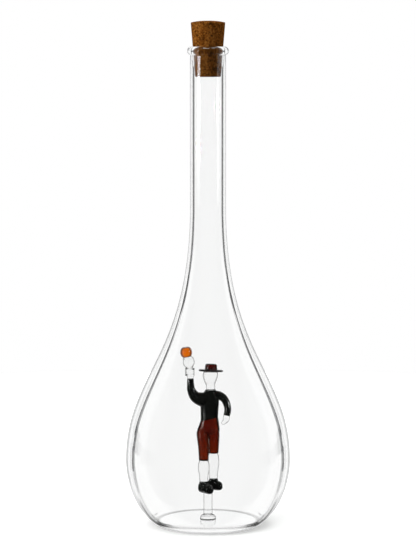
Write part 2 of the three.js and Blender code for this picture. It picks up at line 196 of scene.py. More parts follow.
class Finishes(bpy.types.PropertyGroup):
    """Colours of the glass and the cork, and the painted shade on the glass"""

    clear: colour("Clear glass", "Tint of the clear glass", 0.99, 0.995, 0.992)
    # Painted shade: grey painted into the clear glass where it is seen edge on, which draws its dark outline
    clear_outline_shade: colour("Clear edge", "Tint of the clear glass seen edge on", 0.2, 0.21, 0.21)
    # Reach of that painted grey outline, at the neck and at the bulb
    edge_reach: number("Edge reach", "How far the grey outline of the neck reaches in", 0.27)
    bulb_edge_reach: number("Bulb edge reach", "The same at the bulb, were it as slim as the neck", 0.45)
    neck_shade: colour("Neck shade", "What a wall of the neck leaves of a lamp's light", 0.79, 0.8, 0.79)
    bulb_shade: colour("Bulb shade", "What a wall of the bulb leaves of it", 0.95, 0.955, 0.95)
    base_shade: colour("Base shade", "What the thick base leaves of it", 0.3, 0.31, 0.3)
    black: colour("Black glass", "Colour of the black glass", 0.0025, 0.003, 0.0025)
    black_sheen: colour("Black sheen", "Colour where the black glass is thin", 0.007, 0.008, 0.007)
    brown: colour("Brown glass", "What the brown glass lets through", 0.7, 0.36, 0.02)
    amber: colour("Amber glass", "What the amber glass lets through", 0.965, 0.764, 0.05)
    mirror: colour("Mirror", "How much of a full mirror image clear and tinted glass gives", 0.5, 0.5, 0.5)
    polish: number("Polish", "How much the outside of the neck mirrors", 0.022)
    black_mirror: colour("Black mirror", "How much of it the black glass gives", 0.16, 0.16, 0.16)
    shoe_mirror: colour("Shoe mirror", "How much of it the polished shoes give", 0.35, 0.35, 0.35)
    # Painted shade: a dark tint painted on the clear glass next to the ground
    heel_ground_shade: colour("Heel edge", "Tint of the clear glass next to the ground", 0.4, 0.4, 0.4)
    # Painted shade: a dark outline painted where the figure's clear glass is seen edge on
    figure_outline_shade: colour("Figure edge", "Tint of the figure's clear glass seen edge on", 0.05, 0.05, 0.05)
    # Painted shade: dark lines painted along the seam of the base and in the heel's corners, where seen edge
    # on
    seam_and_corner_shade: colour("Seam edge", "Tint of the seam of the base seen edge on", 0.02, 0.02, 0.02)
    # Painted shade: dark brown painted where the coloured glass is seen edge on
    coloured_outline_shade: colour("Coloured edge", "Tint of the coloured glass seen edge on", 0.07, 0.04, 0.02)
    depth: number("Depth of colour", "How strongly coloured glass soaks up light, per metre", 1100)
    cork: colour("Cork", "Main colour of the cork", 0.19, 0.06, 0.008)
    cork_pale: colour("Pale cork", "Colour of its pale grain", 0.38, 0.15, 0.03)
    cork_dark: colour("Dark cork", "Colour of its pores", 0.03, 0.011, 0.002)


class StudioSettings(bpy.types.PropertyGroup):
    """Camera and light"""

    camera_distance: length("Camera distance", "How far in front of the bottle the camera stands", 1.588)
    camera_height: length("Camera height", "Height of the camera", 0.33)
    aim_height: length("Aim height", "Height that the camera looks at", 0.16187)
    frame_height: length("Frame height", "Height of the picture at the bottle", 0.35946)
    floor_radius: length("Floor radius", "Radius of the floor", 0.7)
    floor: colour("Floor", "Colour of the floor", 0.95, 0.95, 0.95)
    floor_glow: number("Floor glow", "How far the floor is lifted towards white at the bottle", 0.42)
    fill: number("Fill", "Light from all round on what isn't glass", 0.06)
    backdrop: number("Backdrop", "Brightness of the backdrop that the glass sees", 1)
    dark: number("Dark", "Brightness of the black flags and the dark side of the room", 0.03)
    key_power: power("Key power", "Power of the soft box at the left", 11)
    rim_power: power("Rim power", "Power of the soft box at the right", 3)
    top_power: power("Top power", "Power of the soft box overhead", 7)
    spark_power: power("Spark power", "Power of the brightest bare lamp for highlights", 100)


# Outlines, as radius and height

def bezier(spans, *points):
    a, b, c, d = (Vector(point) for point in points)
    made = []
    for step in range(spans + 1):
        t = step / spans
        made.append(a * (1 - t) ** 3 + b * (3 * t * (1 - t) ** 2) + c * (3 * t * t * (1 - t)) + d * t**3)
    return made


def arc(spans, radius, height, size, start, end):
    angles = [radians(start + (end - start) * step / spans) for step in range(spans + 1)]
    return [Vector((radius + size * cos(a), height + size * sin(a))) for a in angles]


def line(spans, start, end):
    a, b = Vector(start), Vector(end)
    return [a.lerp(b, step / spans) for step in range(spans + 1)]


def outline(*stretches):
    """Joins stretches of an outline, dropping the point that two of them share."""
    same = 1e-7
    made = []
    for point in (point for stretch in stretches for point in stretch):
        if not made or (point - made[-1]).length > same:
            made.append(point)
    return made


def smooth(stations, spans):
    """Rows between stations, on a smooth curve through them."""
    rows = [Vector(station) for station in stations]
    made = []
    for i in range(len(rows) - 1):
        before = rows[max(i - 1, 0)]
        a, b = rows[i], rows[i + 1]
        after = rows[min(i + 2, len(rows) - 1)]
        for step in range(spans):
            t = step / spans
            bend = (2 * before - 5 * a + 4 * b - after) * t * t
            twist = (3 * a - before - 3 * b + after) * t**3
            made.append((2 * a + (b - before) * t + bend + twist) / 2)
    made.append(rows[-1])
    return made


def dome(row, direction, reach, steps=7):
    """Rows of x, y, z, girth that round off an end. reach is how far the dome stands out."""
    centre, girth = row.xyz, row[3]
    last = radians(86)
    made = []
    for step in range(1, steps + 1):
        angle = last * step / steps
        place = centre + direction * (reach * sin(angle))
        made.append(Vector((*place, girth * cos(angle))))
    return made


def gather(stations, spans=8, start=None, end=None):
    """Rows along a drawn gather. start and end are how far its ends are rounded out."""
    rows = smooth(stations, spans)
    first = (rows[0].xyz - rows[1].xyz).normalized()
    last = (rows[-1].xyz - rows[-2].xyz).normalized()
    head = dome(rows[0], first, start)[::-1] if start else []
    tail = dome(rows[-1], last, end) if end else []
    return head + rows + tail


# Node trees

def put(tree, kind, inputs=(), **settings):
    """A node with its settings, and each input set to a value or linked to a socket."""
    made = tree.nodes.new(kind)
    for name, value in settings.items():
        setattr(made, name, value)
    for key, value in dict(inputs).items():
        if isinstance(value, bpy.types.NodeSocket):
            tree.links.new(value, made.inputs[key])
        else:
            made.inputs[key].default_value = value
    return made


def calc(tree, operation, *values):
    return put(tree, "ShaderNodeMath", enumerate(values), operation=operation).outputs[0]


def times(tree, first, *others):
    for other in others:
        first = calc(tree, "MULTIPLY", first, other)
    return first


def ease(tree, value, start, end, low_end=0, high_end=1):
    """A smooth step of a value from one end to the other."""
    limits = {"Value": value, "From Min": start, "From Max": end, "To Min": low_end, "To Max": high_end}
    return put(tree, "ShaderNodeMapRange", limits, interpolation_type="SMOOTHSTEP").outputs[0]


def noise(tree, place, scale, detail=2, **inputs):
    values = {"Vector": place, "Scale": scale, "Detail": detail, **inputs}
    return put(tree, "ShaderNodeTexNoise", values).outputs["Fac"]


def tint(tree, factor, first, second):
    """A colour between two."""
    return put(tree, "ShaderNodeMix", {0: factor, 6: first, 7: second}, data_type="RGBA").outputs[2]


def stretch(tree, place, *scale):
    return put(tree, "ShaderNodeVectorMath", {0: place, 1: scale}, operation="MULTIPLY").outputs[0]


def length_of(tree, vector):
    return put(tree, "ShaderNodeVectorMath", {0: vector}, operation="LENGTH").outputs[1]


def axes_of(tree, vector):
    return put(tree, "ShaderNodeSeparateXYZ", {0: vector}).outputs


def geometry_tree(name, **sockets):
    """An empty tree with its named inputs, and the node that gives them."""
    tree = bpy.data.node_groups.new(name, "GeometryNodeTree")
    tree.interface.new_socket("Geometry", in_out="INPUT", socket_type="NodeSocketGeometry")
    for socket, kind in sockets.items():
        tree.interface.new_socket(socket.replace("_", " "), in_out="INPUT", socket_type=kind)
    tree.interface.new_socket("Geometry", in_out="OUTPUT", socket_type="NodeSocketGeometry")
    return tree, tree.nodes.new("NodeGroupInput").outputs


def close_tree(tree, geometry, material):
    """Ends a tree in real geometry of one material."""
    same = 1e-6
    welded = put(tree, "GeometryNodeMergeByDistance", {"Geometry": geometry, "Distance": same})
    real = put(tree, "GeometryNodeRealizeInstances", {0: welded.outputs[0]})
    coated = put(tree, "GeometryNodeSetMaterial", {"Geometry": real.outputs[0], "Material": material})
    put(tree, "NodeGroupOutput", {0: coated.outputs[0]})


def revolve_tree():
    """Turns an outline in the XZ plane about Z, one column of points for each side."""
    tree, given = geometry_tree("Revolve", Sides="NodeSocketInt", Material="NodeSocketMaterial")
    points = put(tree, "GeometryNodeAttributeDomainSize", {0: given["Geometry"]}).outputs["Point Count"]
    columns = calc(tree, "ADD", given["Sides"], 1)
    counts = {"Vertices X": points, "Vertices Y": columns}
    grid = put(tree, "GeometryNodeMeshGrid", counts).outputs["Mesh"]
    index = put(tree, "GeometryNodeInputIndex").outputs[0]
    row = calc(tree, "FLOOR", calc(tree, "DIVIDE", calc(tree, "ADD", index, 0.5), columns))
    column = calc(tree, "SUBTRACT", index, times(tree, row, columns))
    angle = times(tree, calc(tree, "DIVIDE", column, given["Sides"]), 2 * pi)
    place = put(tree, "GeometryNodeInputPosition").outputs[0]
    picked = {"Geometry": given["Geometry"], "Value": place, "Index": row}
    outline_point = put(tree, "GeometryNodeSampleIndex", picked, data_type="FLOAT_VECTOR").outputs[0]
    split = axes_of(tree, outline_point)
    x = times(tree, split["X"], calc(tree, "COSINE", angle))
    y = times(tree, split["X"], calc(tree, "SINE", angle))
    turned = put(tree, "ShaderNodeCombineXYZ", {"X": x, "Y": y, "Z": split["Z"]}).outputs[0]
    moved = put(tree, "GeometryNodeSetPosition", {"Geometry": grid, "Position": turned}).outputs[0]
    close_tree(tree, moved, given["Material"])
    return tree


def gather_tree():
    """Draws a round gather along a path, as thick at each point as its girth."""
    tree, given = geometry_tree("Gather", Sides="NodeSocketInt", Material="NodeSocketMaterial")
    path = put(tree, "GeometryNodeMeshToCurve", {"Mesh": given["Geometry"]}).outputs[0]
    unit = {"Resolution": given["Sides"], "Radius": 1}
    circle = put(tree, "GeometryNodeCurvePrimitiveCircle", unit).outputs[0]
    girth = put(tree, "GeometryNodeInputNamedAttribute", {"Name": "girth"}, data_type="FLOAT").outputs[0]
    swept = {"Curve": path, "Profile Curve": circle, "Scale": girth, "Fill Caps": True}
    close_tree(tree, put(tree, "GeometryNodeCurveToMesh", swept).outputs[0], given["Material"])
    return tree


def pore_mask(tree, place, scale):
    """1 in the pores of the cork and 0 between them. Pores are slots that lie across the cork."""
    wide = stretch(tree, place, 0.55, 0.55, 1.5)
    cells = put(tree, "ShaderNodeTexVoronoi", {"Vector": wide, "Scale": scale, "Randomness": 1})
    pits = ease(tree, cells.outputs["Distance"], 0.3, 0.12)
    patches = ease(tree, noise(tree, place, times(tree, scale, 0.6)), 0.47, 0.6)
    return times(tree, pits, patches)


def cork_tree():
    """Sinks pores into a cork and roughens it."""
    tree, given = geometry_tree(
        "Cork pores", Depth="NodeSocketFloat", Scale="NodeSocketFloat", Material="NodeSocketMaterial"
    )
    place = put(tree, "GeometryNodeInputPosition").outputs[0]
    grain = noise(tree, stretch(tree, place, 1, 1, 0.35), scale=700, detail=4)
    grain_share = 0.35
    sunk = calc(tree, "ADD", pore_mask(tree, place, given["Scale"]), times(tree, grain, grain_share))
    depth = times(tree, sunk, given["Depth"], -1)
    normal = put(tree, "GeometryNodeInputNormal").outputs[0]
    inward = put(tree, "ShaderNodeVectorMath", {0: normal, "Scale": depth}, operation="SCALE").outputs[0]
    moved = put(tree, "GeometryNodeSetPosition", {0: given["Geometry"], "Offset": inward}).outputs[0]
    close_tree(tree, moved, given["Material"])
    return tree


TREES = {"Revolve": revolve_tree, "Gather": gather_tree, "Cork pores": cork_tree}


# Meshes

def show(name, mesh):
    piece = bpy.data.objects.new(name, mesh)
    bpy.context.scene.collection.objects.link(piece)
    return piece


def bake(piece):
    """Swaps a piece's mesh for what its modifiers make of it."""
    depsgraph = bpy.context.evaluated_depsgraph_get()
    mesh = bpy.data.meshes.new_from_object(piece.evaluated_get(depsgraph))
    piece.modifiers.clear()
    old, piece.data = piece.data, mesh
    bpy.data.meshes.remove(old)
    mesh.name = piece.name
    return piece


def grow(name, mesh, tree_name, material, **inputs):
    """What one of the trees makes of a mesh, as a plain mesh."""
    tree = bpy.data.node_groups.get(tree_name) or TREES[tree_name]()
    piece = show(name, mesh)
    modifier = piece.modifiers.new(tree_name, "NODES")
    modifier.node_group = tree
    values = {"Material": material, **inputs}
    for socket in tree.interface.items_tree:
        if socket.in_out == "INPUT" and socket.name in values:
            modifier[socket.identifier] = values[socket.name]
    return bake(piece)


def path_mesh(points, girths=()):
    mesh = bpy.data.meshes.new("path")
    mesh.from_pydata(points, [(i, i + 1) for i in range(len(points) - 1)], [])
    if girths:
        mesh.attributes.new("girth", "FLOAT", "POINT").data.foreach_set("value", girths)
    return mesh


def revolved(name, profile, material, sides):
    points = [(radius, 0, height) for radius, height in profile]
    return grow(name, path_mesh(points), "Revolve", material, Sides=sides)


def drawn(name, rows, material, sides=40):
    points = [row.xyz for row in rows]
    return grow(name, path_mesh(points, [row[3] for row in rows]), "Gather", material, Sides=sides)


def skinned(name, rings, material):
    """A closed skin over rings of points."""
    mesh = bmesh.new()
    rows = [[mesh.verts.new(point) for point in ring] for ring in rings]
    sides = len(rows[0])
    for below, above in zip(rows, rows[1:]):
        for i in range(sides):
            mesh.faces.new((below[i], below[i - 1], above[i - 1], above[i]))
    for row in (rows[0], rows[-1]):
        centre = mesh.verts.new(sum((vertex.co for vertex in row), Vector()) / sides)
        for i in range(sides):
            mesh.faces.new((row[i], row[i - 1], centre))
    data = bpy.data.meshes.new(name)
    mesh.to_mesh(data)
    mesh.free()
    data.materials.append(material)
    return show(name, data)


def level_rings(stations, spans=8, sides=48, ends=(None, None)):
    """Level oval rings through x, y, z, half width, half depth stations, with rounded ends."""
    rows = smooth(stations, spans)
    bottom, top = ends
    if bottom:
        rows = rounded(rows[0], -bottom)[::-1] + rows
    if top:
        rows = rows + rounded(rows[-1], top)
    angles = [2 * pi * side / sides for side in range(sides)]
    rings = []
    for x, y, z, width, depth in rows:
        rings.append([Vector((x + width * cos(a), y + depth * sin(a), z)) for a in angles])
    return rings


def rounded(row, reach, steps=6):
    x, y, z, width, depth = row
    last = radians(85)
    angles = [last * step / steps for step in range(1, steps + 1)]
    return [Vector((x, y, z + reach * sin(a), width * cos(a), depth * cos(a))) for a in angles]


def fused(name, parts, voxel, rounds):
    """One skin over gathers that run into each other, with the creases between them melted round."""
    whole = bmesh.new()
    for part in parts:
        whole.from_mesh(part.data)
    material = parts[0].data.materials[0]
    for part in parts:
        bpy.data.meshes.remove(part.data)
    mesh = bpy.data.meshes.new(name)
    whole.to_mesh(mesh)
    whole.free()
    piece = show(name, mesh)
    skin = piece.modifiers.new("Skin", "REMESH")
    skin.mode = "VOXEL"
    skin.voxel_size = voxel
    melt = piece.modifiers.new("Melt", "SMOOTH")
    melt.factor = 0.5
    melt.iterations = rounds
    bake(piece)
    piece.data.materials.clear()
    piece.data.materials.append(material)
    return piece


def turn_out(data):
    """Turns the faces of a mesh outwards."""
    mesh = bmesh.new()
    mesh.from_mesh(data)
    bmesh.ops.recalc_face_normals(mesh, faces=mesh.faces)
    mesh.to_mesh(data)
    mesh.free()


def finish_piece(piece, body, slot, *nodes, crease=40):
    """Turns the faces outwards, smooths them up to a crease angle and ties the piece to its body."""
    turn_out(piece.data)
    piece.data.shade_smooth()
    piece.data.set_sharp_from_angle(angle=radians(crease))
    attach(piece, body)
    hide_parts(*nodes)


# Materials

# Refractive indices of the blown walls, the base and rod, the figure's clear gathers and coloured ones
BLOWN_INDEX = 1.47
BASE_INDEX = 1.3
DRAWN_INDEX = 1.42
COLOURED_INDEX = 1.5
# Radii and heights between which painted shade on the clear glass comes in (grey outline, dark heel, dark
# seam), then those of the shade its walls cast and of the trapped light
BULB_RADII = 30 * MM, 46 * MM
BULB_HEIGHTS = 15 * MM, 35 * MM
HEEL_SIDE = 8 * MM, 6 * MM
HEEL_GROUND = 2.2 * MM, 0.8 * MM
HEEL_CORNER = 2 * MM, 3 * MM
SEAM_BAND = 1.8 * MM, 0.7 * MM
SEAM_INSET = -3 * MM, -2 * MM
STAND_EDGE = 0, 0.5 * MM
BASE_SHADOW = 2 * MM, 9 * MM
NECK_SHADOW = 200 * MM, 280 * MM
THICK_BASE = 22 * MM, 20 * MM
# How far the glass has turned from the eye, from 0 to 1, between which painted shade comes in
OUTLINE_TURN = 0.985, 1.015
SEAM_TURN = 0.5, 0.74
CORNER_TURN = 0.68, 0.84
FIGURE_TURN = 0.35, 0.7
COLOURED_TURN = 0.06, 0.42
# How steep a wall is that has a painted grey outline, from its normal's upward share
STEEP = 0.62, 0.5
# How fast the painted outline thins as the bottle widens
OUTLINE_FALL = 0.45
# Radii between which the floor's glow grows to white
FLOOR_GLOW_EDGE = 0.06, 0.25
# Mirror turns after which light counts as trapped
TRAPPED_TURNS = 2.5


def opaque(value):
    return (*value, 1)


def new_material(name):
    material = bpy.data.materials.new(name)
    material.use_nodes = True
    material.node_tree.nodes.clear()
    tree = material.node_tree
    return material, tree, put(tree, "ShaderNodeTexCoord").outputs["Object"]


def coat(tree, surface, **others):
    put(tree, "ShaderNodeOutputMaterial", {"Surface": surface.outputs[0], **others})


def mixed(tree, share, first, second):
    return put(tree, "ShaderNodeMixShader", {0: share, 1: first.outputs[0], 2: second.outputs[0]})


def bump(tree, height, distance, strength=1):
    values = {"Strength": strength, "Distance": distance, "Height": height}
    return put(tree, "ShaderNodeBump", values).outputs[0]


def turned_away(tree):
    """0 where a surface faces the eye and 1 where it is seen edge on."""
    return put(tree, "ShaderNodeLayerWeight").outputs["Facing"]


def let_lamps_through(tree, glass, shade):
    """Glass that a lamp's light crosses straight, so that what stands in the bottle is lit."""
    path = put(tree, "ShaderNodeLightPath").outputs
    plain = calc(tree, "MAXIMUM", path["Is Shadow Ray"], path["Is Diffuse Ray"])
    return mixed(tree, plain, glass, put(tree, "ShaderNodeBsdfTransparent", {"Color": shade}))


def let_trapped_out(tree, glass, rise):
    """Lets out the light that runs to and fro inside the thick base, which would end up black."""
    path = put(tree, "ShaderNodeLightPath").outputs
    often = calc(tree, "GREATER_THAN", path["Glossy Depth"], TRAPPED_TURNS)
    trapped = times(tree, often, ease(tree, rise, *THICK_BASE))
    return mixed(tree, trapped, glass, put(tree, "ShaderNodeBsdfTransparent"))


def clear_cords_and_painted_shade(scene, tree, place, level, rise):
    """Colour of the clear glass: its faint cords, and painted shade: a grey outline of even width, a dark
    band at the heel and dark lines at the seam and the heel's corners.
    """
    finishes, sizes = scene.finishes, scene.bottle_sizes
    turned = turned_away(tree)
    cords = noise(tree, stretch(tree, place, 1, 1, 0.3), scale=40)
    body = tint(tree, cords, opaque(finishes.clear), WHITE)
    outside = ease(tree, calc(tree, "SUBTRACT", level, sizes.stand_radius), *STAND_EDGE)
    heel_side = times(tree, outside, ease(tree, rise, *HEEL_SIDE))
    # Painted shade: the foot of the heel outside the standing ring is darkened next to the ground
    ground = times(tree, outside, ease(tree, rise, *HEEL_GROUND))
    body = tint(tree, ground, body, opaque(finishes.heel_ground_shade))

    # Painted shade: a grey outline of even width on the steep walls, where they are seen edge on
    full = times(tree, ease(tree, level, *BULB_RADII), ease(tree, rise, *BULB_HEIGHTS))
    gain = finishes.bulb_edge_reach - finishes.edge_reach
    reach = calc(tree, "MULTIPLY_ADD", full, gain, finishes.edge_reach)
    slimness = calc(tree, "POWER", calc(tree, "DIVIDE", sizes.neck_radius, level), OUTLINE_FALL)
    edge = calc(tree, "ADD", turned, times(tree, slimness, reach))
    normal = put(tree, "ShaderNodeNewGeometry").outputs["Normal"]
    slope = calc(tree, "ABSOLUTE", axes_of(tree, normal)["Z"])
    upright = calc(tree, "MAXIMUM", heel_side, ease(tree, slope, *STEEP))
    grey = times(tree, ease(tree, edge, *OUTLINE_TURN), upright)
    body = tint(tree, grey, body, opaque(finishes.clear_outline_shade))

    # Painted shade: dark lines along the seam of the base and in the heel's corners, where the glass is seen
    # edge on
    off_seam = calc(tree, "ABSOLUTE", calc(tree, "SUBTRACT", rise, sizes.floor_height))
    beyond = ease(tree, calc(tree, "SUBTRACT", level, sizes.seam_radius), *SEAM_INSET)
    seam = times(tree, ease(tree, off_seam, *SEAM_BAND), ease(tree, turned, *SEAM_TURN), beyond)
    corner = times(tree, heel_side, ease(tree, rise, *HEEL_CORNER), ease(tree, turned, *CORNER_TURN))
    return tint(tree, calc(tree, "MAXIMUM", seam, corner), body, opaque(finishes.seam_and_corner_shade))


def clear_glass(scene, name, index, polish=0):
    """Clear glass of the bottle. Polish is how much its outside mirrors the soft boxes."""
    finishes = scene.finishes
    material, tree, place = new_material(name)
    level = length_of(tree, stretch(tree, place, 1, 1, 0))
    rise = axes_of(tree, place)["Z"]
    values = {
        "Base Color": clear_cords_and_painted_shade(scene, tree, place, level, rise),
        "Roughness": 0,
        "IOR": index,
        "Transmission Weight": 1,
        "Specular Tint": (0, 0, 0, 1) if polish else opaque(finishes.mirror),
    }
    glass = put(tree, "ShaderNodeBsdfPrincipled", values)
    if polish:
        gloss = put(tree, "ShaderNodeBsdfGlossy", {"Color": WHITE, "Roughness": 0.04})
        glass = mixed(tree, polish, glass, gloss)
    bulb_shade = opaque(finishes.bulb_shade)
    shade = tint(tree, ease(tree, rise, *BASE_SHADOW), opaque(finishes.base_shade), bulb_shade)
    shade = tint(tree, ease(tree, rise, *NECK_SHADOW), shade, opaque(finishes.neck_shade))
    coat(tree, let_lamps_through(tree, let_trapped_out(tree, glass, rise), shade))
    return material


def figure_glass(scene, name, index):
    """Clear glass of the figure, with faint clouds and a painted dark outline where it is seen edge on."""
    finishes = scene.finishes
    material, tree, place = new_material(name)
    clouds = tint(tree, noise(tree, place, scale=300), opaque(finishes.clear), WHITE)
    # Painted shade: dark outline where the glass is seen edge on
    edge = ease(tree, turned_away(tree), *FIGURE_TURN)
    values = {
        "Base Color": tint(tree, edge, clouds, opaque(finishes.figure_outline_shade)),
        "Roughness": 0,
        "IOR": index,
        "Transmission Weight": 1,
    }
    glass = put(tree, "ShaderNodeBsdfPrincipled", values)
    coat(tree, let_lamps_through(tree, glass, opaque(finishes.bulb_shade)))
    return material


def coloured_glass(scene, name, light, ripple, depth=1):
    """Glass that soaks up light with depth, with the slight ripples of hand work, and painted shade
    darkening its edges.
    """
    finishes = scene.finishes
    material, tree, place = new_material(name)
    waves = noise(tree, place, scale=320, detail=1)
    clouds = tint(tree, noise(tree, place, scale=500), WHITE, (0.94, 0.9, 0.88, 1))
    # Painted shade: darker towards the edges, where the glass is seen edge on
    edge = ease(tree, turned_away(tree), *COLOURED_TURN)
    values = {
        "Base Color": tint(tree, edge, clouds, opaque(finishes.coloured_outline_shade)),
        "Roughness": 0.08,
        "IOR": COLOURED_INDEX,
        "Transmission Weight": 1,
        "Specular Tint": opaque(finishes.mirror),
        "Normal": bump(tree, waves, ripple),
    }
    glass = put(tree, "ShaderNodeBsdfPrincipled", values)
    soak = {"Color": opaque(light), "Density": finishes.depth * depth}
    soaked = put(tree, "ShaderNodeVolumeAbsorption", soak).outputs[0]
    coat(tree, let_lamps_through(tree, glass, opaque(share**3 for share in light)), Volume=soaked)
    return material


def black_glass(scene, name, mirror, rough, ripple):
    """Black glass, glossy, with slight ripples and paler where it was drawn thin."""
    finishes = scene.finishes
    material, tree, place = new_material(name)
    clouds = noise(tree, place, scale=380, detail=3)
    waves = noise(tree, stretch(tree, place, 1, 1, 0.5), scale=450, detail=1)
    values = {
        "Base Color": tint(tree, clouds, opaque(finishes.black), opaque(finishes.black_sheen)),
        "Roughness": ease(tree, clouds, 0.3, 0.7, rough * 0.5, rough),
        "IOR": COLOURED_INDEX,
        "Specular Tint": opaque(mirror),
        "Normal": bump(tree, waves, ripple),
    }
    coat(tree, put(tree, "ShaderNodeBsdfPrincipled", values))
    return material


def stopper_cork(scene, name):
    """Cork: warm brown, mottled along its grain, with flecks and dark pores."""
    material, tree, place = new_material(name)
    finishes = scene.finishes
    cork, pale, dark = (opaque(shade) for shade in (finishes.cork, finishes.cork_pale, finishes.cork_dark))
    mottle = noise(tree, stretch(tree, place, 1, 1, 0.6), scale=260, detail=5, Roughness=0.65)
    grain = noise(tree, stretch(tree, place, 1, 1, 0.12), scale=900, detail=4)
    flecks = noise(tree, place, scale=850, detail=2, Roughness=0.6)
    fine = noise(tree, place, scale=2600, detail=3)
    streaks = times(tree, ease(tree, mottle, 0.45, 0.72), ease(tree, grain, 0.35, 0.65))
    body = tint(tree, streaks, cork, pale)
    body = tint(tree, times(tree, ease(tree, mottle, 0.48, 0.3), 0.75), body, dark)
    body = tint(tree, times(tree, ease(tree, flecks, 0.54, 0.64), 0.8), body, pale)
    body = tint(tree, times(tree, ease(tree, flecks, 0.45, 0.36), 0.85), body, dark)
    values = {
        "Base Color": tint(tree, pore_mask(tree, place, scene.cork_sizes.pore_scale), body, dark),
        "Roughness": ease(tree, fine, 0.3, 0.7, 0.72, 0.95),
        "Normal": bump(tree, fine, 0.2 * MM, 0.5),
        "Specular IOR Level": 0,
    }
    coat(tree, put(tree, "ShaderNodeBsdfPrincipled", values))
    return material


def studio_floor(scene, name):
    """A pale floor that shows the shadow, and that glass looks through to the backdrop."""
    studio = scene.studio
    material, tree, place = new_material(name)
    path = put(tree, "ShaderNodeLightPath").outputs
    paint = put(tree, "ShaderNodeBsdfDiffuse", {"Color": opaque(studio.floor)})
    lift = ease(tree, length_of(tree, place), *FLOOR_GLOW_EDGE, studio.floor_glow, 1)
    glow = put(tree, "ShaderNodeEmission", {"Strength": times(tree, path["Is Camera Ray"], lift)})
    lit = put(tree, "ShaderNodeAddShader", {0: paint.outputs[0], 1: glow.outputs[0]})
    through = calc(tree, "MAXIMUM", path["Is Transmission Ray"], path["Is Glossy Ray"])
    coat(tree, mixed(tree, through, lit, put(tree, "ShaderNodeBsdfTransparent")))
    return material


def finish_table(scene):
    """What makes each material, and what it is given."""
    finishes = scene.finishes
    return {
        "blown_clear": (clear_glass, {"index": BLOWN_INDEX}),
        "base_clear": (clear_glass, {"index": BASE_INDEX}),
        "neck_clear": (clear_glass, {"index": BLOWN_INDEX, "polish": finishes.polish}),
        "drawn_clear": (figure_glass, {"index": DRAWN_INDEX}),
        "rod_clear": (figure_glass, {"index": BASE_INDEX}),
        "worked_black": (black_glass, {"mirror": finishes.black_mirror, "rough": 0.2, "ripple": 0.1 * MM}),
        "polished_black": (black_glass, {"mirror": finishes.shoe_mirror, "rough": 0.1, "ripple": 0.01 * MM}),
        "worked_brown": (coloured_glass, {"light": finishes.brown, "ripple": 0.08 * MM}),
        "dark_brown": (coloured_glass, {"light": finishes.brown, "ripple": 0.2 * MM, "depth": 1.2}),
        "worked_amber": (coloured_glass, {"light": finishes.amber, "ripple": 0.06 * MM}),
        "stopper_cork": (stopper_cork, {}),
        "studio_floor": (studio_floor, {}),
    }


def material_of(name, scene):
    if name not in bpy.data.materials:
        make, values = finish_table(scene)[name]
        make(scene, name, **values)
    return bpy.data.materials[name]


def add_slot(piece, name, scene):
    """Gives a piece one more material and says which slot it is in."""
    piece.data.materials.append(material_of(name, scene))
    return len(piece.data.materials) - 1


# The bottle

# How far outside the edge of the mouth the middle of the lip's bead lies
BEAD_OFFSET = 0.6 * MM


